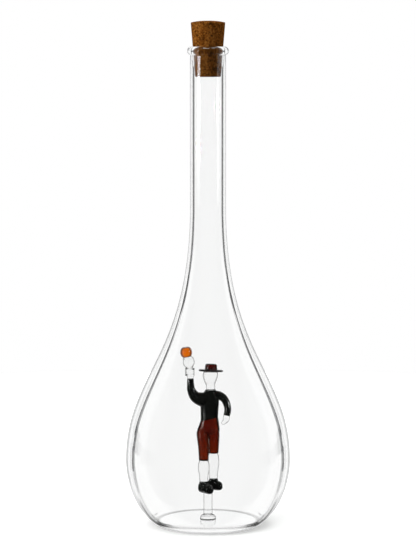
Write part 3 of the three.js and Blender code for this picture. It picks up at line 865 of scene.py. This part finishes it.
def bottle_profile(sizes):
    """From the kick up the outside, over the lip and down the inside to the top of the rod."""
    floor, seam = sizes.floor_height, sizes.seam_radius
    bulb, neck = sizes.bulb_radius, sizes.neck_radius
    ring = sizes.stand_radius - sizes.stand_width
    out = seam + sizes.seam_pull * cos(sizes.seam_slope)
    up = floor + sizes.seam_pull * sin(sizes.seam_slope)

    def lower(inset):
        full = bulb - inset, sizes.bulb_height - sizes.heel_pull
        widest = bulb - inset, sizes.bulb_height
        return bezier(28, (seam - inset, floor), (out - inset, up), full, widest)

    def upper(bulb_inset, neck_inset, drop):
        start = bulb - bulb_inset, sizes.bulb_height
        full = bulb - bulb_inset, sizes.bulb_height + sizes.bulb_pull - drop
        slim = neck - neck_inset, sizes.shoulder_height - sizes.shoulder_pull - drop
        return bezier(56, start, full, slim, (neck - neck_inset, sizes.shoulder_height))

    kick = bezier(8, (0, sizes.kick), (ring / 2, sizes.kick), (ring * 0.8, sizes.kick / 4), (ring, 0))
    stand, turn_in = sizes.stand_radius, sizes.heel_turn
    under_seam = seam - turn_in * cos(sizes.seam_slope), floor - turn_in * sin(sizes.seam_slope)
    heel = bezier(10, (stand, 0), (stand + turn_in, 0), under_seam, (seam, floor))
    bead = sizes.mouth_radius + BEAD_OFFSET
    bead_height = sizes.lip_height - sizes.lip_bead
    bead_foot = -acos((neck - sizes.neck_waist - bead) / sizes.lip_bead) * 180 / pi
    waist = bead_height - sizes.lip_bead - sizes.neck_waist_length
    lip = arc(18, bead, bead_height, sizes.lip_bead, bead_foot, 90)
    under_lip = bezier(6, (neck, waist), (neck, waist + sizes.neck_waist_length / 2), lip[0], lip[0])
    ease_centre = sizes.mouth_radius + sizes.mouth_ease, sizes.lip_height - sizes.mouth_ease
    mouth = arc(5, *ease_centre, sizes.mouth_ease, 90, 180)
    flare = line(6, mouth[-1], (sizes.bore_radius, sizes.seat_height))
    wall = lower(sizes.bulb_wall)[::-1]
    corner, turn_start = floor_fillet(wall, floor, sizes.floor_fillet)
    rod, wide, tall = sizes.rod_radius, sizes.rod_foot_radius, sizes.rod_foot_height
    bead_side = wide * 1.09, floor + tall * 0.15
    bead_top = wide * 1.05, floor + tall
    foot = bezier(14, (wide * 0.96, floor), bead_side, bead_top, (rod, floor + tall))
    cap = sizes.rod_top - rod
    head = arc(8, 0, cap, rod, 0, 90)
    return outline(
        kick, line(3, (ring, 0), (stand, 0)), heel, lower(0), upper(0, 0, 0),
        line(10, (neck, sizes.shoulder_height), (neck, waist)), under_lip, lip, mouth, flare,
        line(10, (sizes.bore_radius, sizes.seat_height), (sizes.bore_radius, sizes.shoulder_height)),
        upper(sizes.bulb_wall, neck - sizes.bore_radius, sizes.wall_drop)[::-1],
        wall[:turn_start], corner, line(10, corner[-1], foot[0]), foot,
        line(8, foot[-1], (rod, cap)), head,
    )


def floor_fillet(wall, floor, reach):
    """The rounding between the inside wall and the floor, and the wall's last point above it."""
    last = len(wall) - 1
    foot = wall[last]
    turn_start = last
    while (wall[turn_start] - foot).length < reach:
        turn_start -= 1
    start = wall[turn_start]
    end = foot - Vector((reach, 0))
    return bezier(10, start, start.lerp(foot, 0.6), end.lerp(foot, 0.6), end), turn_start


class GLASS_OT_bottle(bpy.types.Operator):
    """Blows the bottle: bulb, neck and beaded lip, with the base and the rod sealed to it"""

    bl_idname = "glass.bottle"
    bl_label = "Bottle"

    def execute(self, context):
        sizes = context.scene.bottle_sizes
        glass = material_of("blown_clear", context.scene)
        piece = revolved("bottle_glass", bottle_profile(sizes), glass, sizes.sides)
        rod = add_slot(piece, "rod_clear", context.scene)
        base = add_slot(piece, "base_clear", context.scene)
        neck = add_slot(piece, "neck_clear", context.scene)
        rod_reach = sizes.rod_foot_radius + 0.2 * MM
        rod_foot, base_top = sizes.floor_height + 0.1 * MM, sizes.floor_height - 0.3 * MM
        for face in piece.data.polygons:
            level, rise = face.center.xy.length, face.center.z
            if level < rod_reach and rise > rod_foot:
                face.material_index = rod
            elif rise < base_top:
                face.material_index = base
            elif rise > sizes.shoulder_height and level > sizes.mouth_radius + BEAD_OFFSET:
                face.material_index = neck
        finish_piece(piece, "bottle", "clear_glass", "bottle_shell", "base_disc", "support_rod")
        return {"FINISHED"}


class GLASS_OT_cork(bpy.types.Operator):
    """Cuts the cork: a cone with rounded edges, pores and grain"""

    bl_idname = "glass.cork"
    bl_label = "Cork"

    def execute(self, context):
        sizes = context.scene.cork_sizes
        edge = sizes.edge
        foot, head = low("cork").z, high("cork").z - sizes.crown
        rim, top = sizes.head_radius - edge, head + sizes.crown
        material = material_of("stopper_cork", context.scene)
        profile = outline(
            line(30, (0, foot), (sizes.foot_radius - edge, foot)),
            arc(5, sizes.foot_radius - edge, foot + edge, edge, -90, 0),
            line(sizes.rows, (sizes.foot_radius, foot + edge), (sizes.head_radius, head - edge)),
            arc(5, rim, head - edge, edge, 0, 90),
            bezier(36, (rim, head), (rim * 0.7, head + sizes.crown * 0.7), (rim * 0.4, top), (0, top)),
        )
        blank = revolved("cork_stopper", profile, material, sizes.sides)
        mesh = blank.data
        bpy.data.objects.remove(blank)
        turn_out(mesh)
        pores = {"Depth": sizes.pore_depth, "Scale": sizes.pore_scale}
        piece = grow("cork_stopper", mesh, "Cork pores", material, **pores)
        finish_piece(piece, "stopper", "cork", "cork", crease=60)
        return {"FINISHED"}


# The figure

# Which way each toe points, and how far it reaches
LEGS = {
    "right": {"toe": radians(-48), "reach": 5.6 * MM},
    "left": {"toe": radians(-25), "reach": 3.9 * MM},
}
# Step of the skin over the finest gathers
FINE_VOXEL = 0.14 * MM


def ring_row(centre, radius, girth, steps=36):
    """A gather bent round into a ring."""
    row = []
    for step in range(steps + 1):
        angle = 2 * pi * step / steps
        place = centre + Vector((cos(angle), sin(angle), 0)) * radius
        row.append(Vector((*place, girth)))
    return row


def shoe_axes(side):
    """Where a shoe stands under its ankle, which way its toe points and which way is across."""
    ankle = middle(f"{side}_calf")
    toe = Vector((cos(LEGS[side]["toe"]), sin(LEGS[side]["toe"]), 0))
    return Vector((ankle.x, ankle.y, low(f"{side}_shoe").z)), toe, UP.cross(toe)


def shoe_rings(sizes, side, sides=36):
    """Rings from heel to toe, flat under the sole and high at the instep."""
    sole, toe, across = shoe_axes(side)
    half, tall = sizes.shoe_width / 2, sizes.shoe_height / 2
    reach = LEGS[side]["reach"]
    heel = -2.3 * MM
    stations = [
        (heel - half * 0.6, 0.12, 0.3, 0.55),
        (heel - half * 0.52, 0.48, 0.58, 0.3),
        (heel - half * 0.28, 0.78, 0.82, 0.12),
        (heel, 0.92, 0.96, 0.03),
        (0, 1, 1, 0),
        (reach * 0.35, 1, 0.92, 0),
        (reach * 0.68, 1.05, 0.84, 0),
        (reach, 1.02, 0.8, 0.02),
        (reach + half * 0.4, 0.86, 0.7, 0.08),
        (reach + half * 0.68, 0.56, 0.5, 0.24),
        (reach + half * 0.8, 0.18, 0.26, 0.46),
    ]
    flatness = 0.75
    rings = []
    for place, width, height, lift in smooth(stations, 3):
        centre = sole + UP * (tall * (height + lift)) + toe * place
        ring = []
        for step in range(sides):
            angle = 2 * pi * step / sides
            rise = sin(angle)
            flat = rise if rise > 0 else -abs(rise) ** flatness
            ring.append(centre + across * (half * width * cos(angle)) + UP * (tall * height * flat))
        rings.append(ring)
    return rings


def shoe_strap(sizes, side, steps=24):
    """A band over the instep."""
    sole, toe, across = shoe_axes(side)
    half, tall = sizes.shoe_width / 2, sizes.shoe_height / 2
    centre = sole + UP * (tall * 0.9) + toe * (LEGS[side]["reach"] * 0.42)
    rows = []
    for step in range(steps + 1):
        angle = radians(-5 + 190 * step / steps)
        point = centre + across * (half * 1.06 * cos(angle)) + UP * (tall * 1.04 * sin(angle))
        rows.append(Vector((*point, 0.6 * MM)))
    return rows


class GLASS_OT_shoes(bpy.types.Operator):
    """Makes the two black shoes, each with its band and its rolled ankle"""

    bl_idname = "glass.shoes"
    bl_label = "Shoes"

    def execute(self, context):
        sizes = context.scene.figure_sizes
        black = material_of("polished_black", context.scene)
        for side in LEGS:
            ankle = middle(f"{side}_calf")
            ankle.z = high(f"{side}_shoe").z - 0.7 * MM
            roll = ring_row(ankle, 2.35 * MM, 0.75 * MM)
            parts = [
                skinned("shoe", shoe_rings(sizes, side), black),
                drawn("band", shoe_strap(sizes, side), black, 16),
                drawn("roll", roll, black, 16),
            ]
            piece = fused(f"{side}_shoe_glass", parts, FINE_VOXEL, 2)
            finish_piece(piece, "bottle", "black_glass", f"{side}_shoe")
        return {"FINISHED"}


class GLASS_OT_calves(bpy.types.Operator):
    """Draws the two clear stockinged calves, from the shoes up into the breeches"""

    bl_idname = "glass.calves"
    bl_label = "Calves"

    def execute(self, context):
        sizes = context.scene.figure_sizes
        clear = material_of("drawn_clear", context.scene)
        for side in LEGS:
            leg = middle(f"{side}_calf")
            foot = high(f"{side}_shoe").z - 1.6 * MM
            knee = high(f"{side}_calf").z + sizes.melt
            girths = (
                (0, sizes.ankle_radius),
                (0.3, sizes.ankle_radius + 0.2 * MM),
                (0.62, sizes.calf_radius),
                (0.86, sizes.calf_radius - 0.25 * MM),
                (1, sizes.hem_radius - 0.45 * MM),
            )
            stations = [(leg.x, leg.y, foot + (knee - foot) * share, girth) for share, girth in girths]
            piece = drawn(f"{side}_calf_glass", gather(stations, start=0.6 * MM, end=0.5 * MM), clear)
            finish_piece(piece, "bottle", "clear_glass", f"{side}_calf")
        return {"FINISHED"}


def slant(piece, waist, sizes):
    """Tips the line between jacket and breeches, and lets what is away from it be."""
    for vertex in piece.data.vertices:
        away = vertex.co.x - sizes.slant_middle
        if abs(away) < sizes.slant_width:
            share = max(0, 1 - abs(vertex.co.z - waist) / sizes.slant_reach)
            vertex.co.z += tan(sizes.slant) * share * away


class GLASS_OT_breeches(bpy.types.Operator):
    """Melts two brown legs and a seat into the breeches"""

    bl_idname = "glass.breeches"
    bl_label = "Breeches"

    def execute(self, context):
        sizes = context.scene.figure_sizes
        brown = material_of("worked_brown", context.scene)
        waist = high("breeches").z
        tall = waist - low("breeches").z
        hip = waist - tall * 0.3
        fork = hip - tall * 0.05
        half = sizes.hip_half_width / 2
        parts = []
        for side, sign in (("right", -1), ("left", 1)):
            leg = middle(f"{side}_calf")
            hem = high(f"{side}_calf").z + 0.1 * MM
            girth = sizes.hem_radius + 0.12 * MM
            thigh = (hem + fork) / 2
            stations = [
                (leg.x, leg.y, hem, girth, girth),
                (leg.x + sign * 0.2 * MM, leg.y * 0.75, thigh, girth + 0.3 * MM, girth + 0.35 * MM),
                (sign * half, leg.y * 0.35, fork, half, half + 0.1 * MM),
                (sign * (half - 0.5 * MM), 0, (hip + waist) / 2, half - 0.7 * MM, half - 0.9 * MM),
            ]
            parts.append(skinned("leg", level_rings(stations), brown))
        width, depth = sizes.hip_half_width, sizes.hip_depth
        lean = 0.1 * MM
        seat = [
            (lean, 0, fork - 1 * MM, half * 0.5, half * 0.6),
            (lean, 0, (fork + hip) / 2, width - 1.1 * MM, depth - 0.4 * MM),
            (lean, 0, hip, width, depth),
            (0.5 * MM, 0, (hip + waist) / 2, width * 0.9, depth),
            (0.85 * MM, 0, waist + sizes.melt, sizes.waist_half_width, sizes.waist_depth),
        ]
        parts.append(skinned("seat", level_rings(seat), brown))
        piece = fused("breeches_glass", parts, sizes.voxel, 3)
        slant(piece, waist, sizes)
        finish_piece(piece, "bottle", "brown_glass", "breeches")
        return {"FINISHED"}


def raised_sleeve(sizes):
    """The right sleeve, from inside the chest out round the elbow and up to the cuff."""
    return sleeve(
        sizes,
        (-1.2, 0, -6.2, 1.6),
        (-4.6, -0.4, -5.9, 1.6),
        (-8.4, -0.9, -4.1, 1.3),
        (-10.8, -1.5, -0.1, 1),
        (-11.3, -1.9, 3.4, 0.86),
        (-11.4, -2.1, 7.7, sizes.cuff_radius / sizes.sleeve_radius),
    )


def bent_sleeve(sizes):
    """The left sleeve, off the shoulder, out at the elbow and back to the hip."""
    return sleeve(
        sizes,
        (2.8, 0, -4.2, 1.25),
        (6.8, 0, -3.5, 1),
        (10.3, 0, -5.5, 0.92),
        (12.3, -0.4, -9.2, 0.86),
        (12.8, -0.9, -12.8, 0.82),
        (12.1, -1.6, -16.3, sizes.cuff_radius / sizes.sleeve_radius),
    )


def sleeve(sizes, *stations):
    """Rows from stations in millimetres from the collar, each with its share of the sleeve's radius."""
    collar = UP * high("jacket").z
    rows = []
    for x, y, z, share in stations:
        rows.append(Vector((*(collar + Vector((x, y, z)) * MM), sizes.sleeve_radius * share)))
    return rows


class GLASS_OT_jacket(bpy.types.Operator):
    """Melts the black jacket and its two sleeves into one"""

    bl_idname = "glass.jacket"
    bl_label = "Jacket"

    def execute(self, context):
        sizes = context.scene.figure_sizes
        black = material_of("worked_black", context.scene)
        foot, collar = high("breeches").z, high("jacket").z
        tall = collar - foot
        waist, waist_depth = sizes.waist_half_width, sizes.waist_depth
        chest, chest_depth = sizes.chest_half_width, sizes.chest_depth
        lean = 1.1 * MM
        stations = [
            (lean * 0.8, 0, foot, waist, waist_depth),
            (lean * 0.9, 0, foot + tall * 0.3, waist + 0.15 * MM, waist_depth),
            (lean, 0, foot + tall * 0.62, chest, chest_depth),
            (lean * 1.2, 0, foot + tall * 0.85, chest * 0.86, chest_depth * 0.86),
            (lean * 1.5, 0, collar, sizes.collar_radius, sizes.collar_radius),
        ]
        roll = Vector((lean * 1.5, 0, collar - 0.5 * MM))
        parts = [
            skinned("body", level_rings(stations), black),
            drawn("raised", gather(raised_sleeve(sizes)), black),
            drawn("bent", gather(bent_sleeve(sizes)), black),
            drawn("collar", ring_row(roll, sizes.collar_radius, 0.7 * MM), black, 16),
        ]
        piece = fused("jacket_glass", parts, sizes.voxel, 8)
        slant(piece, foot, sizes)
        finish_piece(piece, "bottle", "black_glass", "jacket", "right_sleeve", "left_sleeve")
        return {"FINISHED"}


class GLASS_OT_hands(bpy.types.Operator):
    """Draws the clear hands: one at the hip, and one closed on the clear bulb that carries the cup"""

    bl_idname = "glass.hands"
    bl_label = "Hands"

    def execute(self, context):
        sizes = context.scene.figure_sizes
        clear = material_of("drawn_clear", context.scene)
        cuff = raised_sleeve(sizes)[-1]
        grip, bulb = high("right_hand").z, high("cup_stem").z
        top = middle("cup_bowl")
        stations = [
            (*cuff.xyz - UP * sizes.melt, cuff[3] - 0.15 * MM),
            (cuff.x, cuff.y, cuff.z + 2.2 * MM, cuff[3] + 0.15 * MM),
            (cuff.x - 0.3 * MM, cuff.y - 0.1 * MM, cuff.z + 4.4 * MM, sizes.hand_radius),
            (cuff.x - 0.6 * MM, cuff.y - 0.2 * MM, grip - 0.1 * MM, sizes.hand_radius - 0.75 * MM),
            (cuff.x - 0.9 * MM, cuff.y - 0.3 * MM, grip + 2.4 * MM, sizes.stem_radius - 0.25 * MM),
            (cuff.x - 1.3 * MM, cuff.y - 0.4 * MM, (grip + bulb) / 2 + 1 * MM, sizes.stem_radius),
            (top.x, top.y, bulb - 0.6 * MM, sizes.stem_radius * 0.72),
        ]
        parts = [drawn("hand", gather(stations, start=0.4 * MM, end=0.9 * MM), clear)]
        palm = Vector(stations[2][:3])
        curl = sizes.hand_radius - 0.15 * MM
        for step in range(sizes.fingers):
            knuckle = palm + UP * (sizes.finger_gap * (step - (sizes.fingers - 1) / 2))
            finger = []
            for degrees in (195, 235, 270, 305, 340):
                across = Vector((cos(radians(degrees)), sin(radians(degrees)), 0))
                finger.append((*knuckle + across * curl, sizes.finger_radius))
            parts.append(drawn("finger", gather(finger), clear, 16))
        piece = fused("raised_hand_glass", parts, FINE_VOXEL, 3)
        finish_piece(piece, "bottle", "clear_glass", "right_hand", "cup_stem")
        cuff = bent_sleeve(sizes)[-1]
        tip = low("left_hand")
        stations = [
            (*cuff.xyz + UP * sizes.melt, cuff[3] - 0.2 * MM),
            (cuff.x - 0.3 * MM, cuff.y - 0.3 * MM, cuff.z - 1.8 * MM, cuff[3] + 0.1 * MM),
            (tip.x + 2.9 * MM, cuff.y - 0.7 * MM, tip.z + 2.6 * MM, cuff[3] - 0.35 * MM),
            (tip.x + 1.7 * MM, cuff.y - 0.9 * MM, tip.z + 1.5 * MM, cuff[3] - 0.8 * MM),
        ]
        piece = drawn("hip_hand_glass", gather(stations, start=0.3 * MM, end=1.2 * MM), clear)
        finish_piece(piece, "bottle", "clear_glass", "left_hand")
        return {"FINISHED"}


class GLASS_OT_head(bpy.types.Operator):
    """Blows the plain clear head on its neck"""

    bl_idname = "glass.head"
    bl_label = "Head"

    def execute(self, context):
        sizes = context.scene.figure_sizes
        clear = material_of("drawn_clear", context.scene)
        collar = high("jacket").z
        chin = collar + 3.6 * MM
        tall = middle("hat_brim").z - chin
        forward = Vector((-sin(sizes.head_turn), -cos(sizes.head_turn)))
        centre = Vector((1.65 * MM, 0))
        shape = [
            (0, collar - sizes.melt, sizes.collar_radius / sizes.head_half_width),
            (0, chin - 1 * MM, 0.6),
            (0.3, chin + tall * 0.06, 0.66),
            (0.4, chin + tall * 0.3, 0.84),
            (0.15, chin + tall * 0.62, 1),
            (0, chin + tall * 0.86, 0.95),
        ]
        stations = []
        for shift, height, share in shape:
            place = centre + forward * (shift * MM)
            stations.append((*place, height, sizes.head_half_width * share, sizes.head_depth * share))
        rings = level_rings(stations, ends=(0.3 * MM, 1.1 * MM))
        piece = skinned("head_glass", rings, clear)
        finish_piece(piece, "bottle", "clear_glass", "head")
        return {"FINISHED"}


class GLASS_OT_hat(bpy.types.Operator):
    """Turns the brown hat: a round brim with a low crown"""

    bl_idname = "glass.hat"
    bl_label = "Hat"

    def execute(self, context):
        sizes = context.scene.figure_sizes
        brown = material_of("dark_brown", context.scene)
        half = sizes.brim_thickness / 2
        brim = sizes.brim_radius - half
        crown, top = sizes.crown_radius, half + sizes.crown_height
        fillet, soft = 0.5 * MM, sizes.crown_height * 0.36
        shoulder = crown * 0.97
        profile = outline(
            line(6, (0, -half), (brim, -half)),
            arc(12, brim, 0, half, -90, 90),
            line(6, (brim, half), (crown + fillet, half)),
            bezier(5, (crown + fillet, half), (crown, half), (crown, half), (crown, half + fillet)),
            line(4, (crown, half + fillet), (shoulder, top - soft)),
            arc(10, shoulder - soft, top - soft, soft, 0, 90),
            line(5, (shoulder - soft, top), (0, top - 0.25 * MM)),
        )
        piece = revolved("hat_glass", profile, brown, 72)
        tilt = Matrix.Rotation(sizes.hat_roll, 4, "Y") @ Matrix.Rotation(sizes.hat_tilt, 4, "X")
        piece.data.transform(Matrix.Translation(middle("hat_brim")) @ tilt)
        finish_piece(piece, "bottle", "brown_glass", "hat_brim", "hat_crown")
        return {"FINISHED"}


class GLASS_OT_cup(bpy.types.Operator):
    """Turns the amber cup on the clear bulb"""

    bl_idname = "glass.cup"
    bl_label = "Cup"

    def execute(self, context):
        sizes = context.scene.figure_sizes
        amber = material_of("worked_amber", context.scene)
        foot, top = low("cup_bowl").z, high("cup_bowl").z
        tall, wide = top - foot, sizes.cup_radius
        side = bezier(
            24, (wide * 0.62, 0), (wide * 1.22, tall * 0.1), (wide * 1.2, tall * 0.98), (wide * 0.42, tall)
        )
        profile = outline(line(4, (0, -0.1 * MM), side[0]), side, line(4, side[-1], (0, tall)))
        piece = revolved("cup_glass", profile, amber, 64)
        place = middle("cup_bowl")
        lean = Matrix.Rotation(sizes.cup_lean, 4, "Y")
        piece.data.transform(Matrix.Translation((place.x, place.y, foot)) @ lean)
        finish_piece(piece, "bottle", "amber_glass", "cup_bowl")
        return {"FINISHED"}


# The stage

def field(azimuth, height, half_width, half_height, fade, strength=1):
    """A part of the surroundings, in degrees. Azimuth 0 is behind the bottle and 90 on its left."""
    return {
        "azimuth": radians(azimuth),
        "height": radians(height),
        "half_width": radians(half_width),
        "half_height": radians(half_height),
        "fade": radians(fade),
        "strength": strength,
    }


def both_sides(*rows):
    """Parts of the surroundings that stand on the left and on the right alike."""
    return tuple(field(side * azimuth, *rest) for side in (1, -1) for azimuth, *rest in rows)


# Black flags, which draw the dark lines in the glass
FLAGS = both_sides(
    (42, -9, 3.5, 3.6, 1),
    (42, -17, 4.5, 3, 1.5, 0.4),
    (42, -25, 7, 6, 2, 0.15),
    (22, -23.5, 8, 3.5, 2.5, 0.7),
    (43.5, -3, 3, 2.5, 1),
    (56.5, -2.9, 7.5, 2.4, 1),
    (47, 0.75, 8.5, 1.5, 1),
    (42, 6.5, 3.6, 4.5, 1),
    (0, -38.5, 25, 4, 4, 0.2),
)
# Flags that only the inside of the walls mirrors: beside the cork, and in the corners of the heel
INNER_FLAGS = both_sides((83, -4.5, 17, 3, 2, 0.8), (31, -43, 7, 9, 2, 0.9))
# Flags that only the outside of the heel mirrors, which darken its corners
CORNER_FLAGS = both_sides((24, -35, 14, 8, 3))
# Soft boxes that the polished outside of the neck mirrors
MIRRORED_BOXES = (
    field(119, 3, 9, 5, 1, 25),
    field(115, -4, 13, 3, 1, 1.5),
    field(-109, 0, 8, 8, 2, 1.6),
)
# Strength of the soft box overhead, and the heights between which it starts
TOP_BOX = 5
TOP_BOX_EDGE = radians(60), radians(66)
# Azimuths between which the bright room behind the bottle starts, for the walls and for the figure
ROOM_EDGE = radians(116), radians(84)
FIGURE_ROOM_EDGE = radians(66), radians(58)
# What the figure mirrors of the light overhead, and the heights between which it starts
FIGURE_TOP = 0.25
FIGURE_TOP_EDGE = radians(30), radians(60)
# Walls that light has crossed when it comes to the figure, and when it is inside a gather of it
FIGURE_WALLS = 2.5
GATHER_WALLS = 5.5


def share_of(tree, azimuth, height, part):
    """The strength of a part of the surroundings in a direction, and 0 outside it."""
    turned = calc(tree, "WRAP", calc(tree, "SUBTRACT", azimuth, part["azimuth"]), pi, -pi)
    across = calc(tree, "ABSOLUTE", turned)
    rise = calc(tree, "ABSOLUTE", calc(tree, "SUBTRACT", height, part["height"]))
    wide = ease(tree, across, part["half_width"] + part["fade"], part["half_width"])
    tall = ease(tree, rise, part["half_height"] + part["fade"], part["half_height"], 0, part["strength"])
    return times(tree, wide, tall)


def choose(tree, test, no, yes):
    """The second value where a test is 1, and the first where it is 0."""
    return calc(tree, "ADD", no, times(tree, test, calc(tree, "SUBTRACT", yes, no)))


def flagged(tree, azimuth, height, flags, bright, dark):
    """The backdrop with flags in front of it."""
    seen = bright
    for flag in flags:
        shade = times(tree, share_of(tree, azimuth, height, flag), bright - dark)
        seen = calc(tree, "MINIMUM", seen, calc(tree, "SUBTRACT", bright, shade))
    return seen


def studio_world(studio):
    """White to the camera, a backdrop with flags and soft boxes to the glass, an even fill for the rest."""
    world = bpy.data.worlds.new("studio")
    world.use_nodes = True
    tree = world.node_tree
    tree.nodes.clear()
    path = put(tree, "ShaderNodeLightPath").outputs
    direction = put(tree, "ShaderNodeTexCoord").outputs["Generated"]
    axes = axes_of(tree, direction)
    azimuth = calc(tree, "ARCTAN2", times(tree, axes["X"], -1), axes["Y"])
    height = calc(tree, "ARCSINE", axes["Z"])
    side = calc(tree, "ABSOLUTE", azimuth)
    bright, dark = studio.backdrop, studio.dark

    through = flagged(tree, azimuth, height, FLAGS, bright, dark)
    wall = calc(tree, "MAXIMUM", times(tree, through, ease(tree, side, *ROOM_EDGE)), dark)
    outer = calc(tree, "MINIMUM", wall, flagged(tree, azimuth, height, CORNER_FLAGS, bright, dark))
    polished = calc(tree, "SUBTRACT", 1, path["Is Singular Ray"])
    for box in MIRRORED_BOXES:
        outer = calc(tree, "MAXIMUM", outer, times(tree, polished, share_of(tree, azimuth, height, box)))
    outer = calc(tree, "MAXIMUM", outer, ease(tree, height, *TOP_BOX_EDGE, 0, TOP_BOX))
    inner = calc(tree, "MINIMUM", wall, flagged(tree, azimuth, height, INNER_FLAGS, bright, dark))
    wall = choose(tree, path["Is Reflection Ray"], inner, outer)

    close_behind = ease(tree, side, *FIGURE_ROOM_EDGE, dark, 1)
    overhead = ease(tree, height, *FIGURE_TOP_EDGE, dark, FIGURE_TOP)
    figure = calc(tree, "MAXIMUM", close_behind, overhead)

    on_figure = calc(tree, "GREATER_THAN", path["Transmission Depth"], FIGURE_WALLS)
    in_figure = calc(tree, "GREATER_THAN", path["Transmission Depth"], GATHER_WALLS)
    mirrored = calc(tree, "GREATER_THAN", path["Glossy Depth"], 0.5)
    straight = choose(tree, in_figure, through, bright)
    seen = choose(tree, mirrored, straight, choose(tree, on_figure, wall, figure))
    white = choose(tree, path["Is Camera Ray"], seen, 1)
    glass = calc(tree, "MAXIMUM", path["Is Glossy Ray"], path["Is Transmission Ray"])
    shown = calc(tree, "MAXIMUM", glass, path["Is Camera Ray"])
    strength = choose(tree, shown, studio.fill, white)
    backdrop = put(tree, "ShaderNodeBackground", {"Color": WHITE, "Strength": strength})
    put(tree, "ShaderNodeOutputWorld", {"Surface": backdrop.outputs[0]})
    return world


KEY_TURN, KEY_DISTANCE = radians(62), 1.05
# Each soft box: its width and height, its place and what it points at
SOFT_BOXES = {
    "key": ((0.58, 1), (-KEY_DISTANCE * sin(KEY_TURN), -KEY_DISTANCE * cos(KEY_TURN), 0.72), (0, 0, 0.3)),
    "rim": ((0.3, 0.8), (1.1, 0.2, 0.4), (0, 0, 0.3)),
    "top": ((1, 1), (0, 0.1, 1.3), (0, 0, 0)),
}
# Each bare lamp: its share of the power and its place
SPARKS = {
    "left spark": (1, (-0.82, -0.37, 0.2)),
    "low spark": (0.5, (-0.5, -0.35, 0.06)),
    "right spark": (0.5, (0.6, -0.3, 0.25)),
}


def soft_lamp(name, power, size, place, target):
    """An area lamp that lights what isn't glass. The glass sees the soft boxes of the world instead."""
    lamp = bpy.data.lights.new(name, "AREA")
    lamp.shape = "RECTANGLE"
    lamp.size, lamp.size_y = size
    lamp.energy = power
    made = aimed(bpy.data.objects.new(name, lamp), place, target)
    made.visible_camera = False
    made.visible_glossy = False
    made.visible_transmission = False


def spark(name, power, place):
    """A bare lamp that only draws highlights."""
    lamp = bpy.data.lights.new(name, "POINT")
    lamp.energy = power
    lamp.shadow_soft_size = 0
    made = bpy.data.objects.new(name, lamp)
    made.location = place
    made.visible_camera = False
    made.visible_diffuse = False
    bpy.context.scene.collection.objects.link(made)


def aimed(obj, place, target):
    obj.location = place
    obj.rotation_euler = (Vector(target) - Vector(place)).to_track_quat("-Z", "Y").to_euler()
    bpy.context.scene.collection.objects.link(obj)
    return obj


class GLASS_OT_studio(bpy.types.Operator):
    """Sets up the floor, the soft light and the camera"""

    bl_idname = "glass.studio"
    bl_label = "Studio"

    def execute(self, context):
        scene = context.scene
        studio = scene.studio
        scene.world = studio_world(studio)
        scene.view_settings.view_transform = "Standard"
        disc = bmesh.new()
        bmesh.ops.create_circle(disc, cap_ends=True, segments=96, radius=studio.floor_radius)
        bmesh.ops.translate(disc, verts=disc.verts, vec=(0, 0, -0.05 * MM))
        mesh = bpy.data.meshes.new("floor")
        disc.to_mesh(mesh)
        disc.free()
        mesh.materials.append(material_of("studio_floor", scene))
        show("floor", mesh)
        for name, box in SOFT_BOXES.items():
            soft_lamp(name, getattr(studio, f"{name}_power"), *box)
        for name, (share, place) in SPARKS.items():
            spark(name, studio.spark_power * share, place)
        place = Vector((0, -studio.camera_distance, studio.camera_height))
        target = Vector((0, 0, studio.aim_height))
        lens = bpy.data.cameras.new("camera")
        lens.lens = lens.sensor_width * (target - place).length / studio.frame_height
        scene.camera = aimed(bpy.data.objects.new("camera", lens), place, target)
        return {"FINISHED"}


OPERATORS = (
    GLASS_OT_bottle,
    GLASS_OT_cork,
    GLASS_OT_shoes,
    GLASS_OT_calves,
    GLASS_OT_breeches,
    GLASS_OT_jacket,
    GLASS_OT_hands,
    GLASS_OT_head,
    GLASS_OT_hat,
    GLASS_OT_cup,
    GLASS_OT_studio,
)


class GLASS_PT_bottle(bpy.types.Panel):
    """Lists what the bottle is made of, in the order it is made"""

    bl_idname = "GLASS_PT_bottle"
    bl_label = "Figural glass bottle"
    bl_space_type = "VIEW_3D"
    bl_region_type = "UI"
    bl_category = "Glass"

    def draw(self, context):
        for operator in OPERATORS:
            self.layout.operator(operator.bl_idname)


GROUPS = {
    "bottle_sizes": BottleSizes,
    "cork_sizes": CorkSizes,
    "figure_sizes": FigureSizes,
    "finishes": Finishes,
    "studio": StudioSettings,
}


def register():
    for kind in (*GROUPS.values(), *OPERATORS, GLASS_PT_bottle):
        bpy.utils.register_class(kind)
    for name, group in GROUPS.items():
        setattr(bpy.types.Scene, name, bpy.props.PointerProperty(type=group))


def unregister():
    for name in GROUPS:
        delattr(bpy.types.Scene, name)
    for kind in (GLASS_PT_bottle, *reversed(OPERATORS), *reversed(GROUPS.values())):
        bpy.utils.unregister_class(kind)


def main():
    register()
    for operator in OPERATORS:
        getattr(bpy.ops.glass, operator.bl_idname.split(".")[1])()


if __name__ == "__main__":
    main()
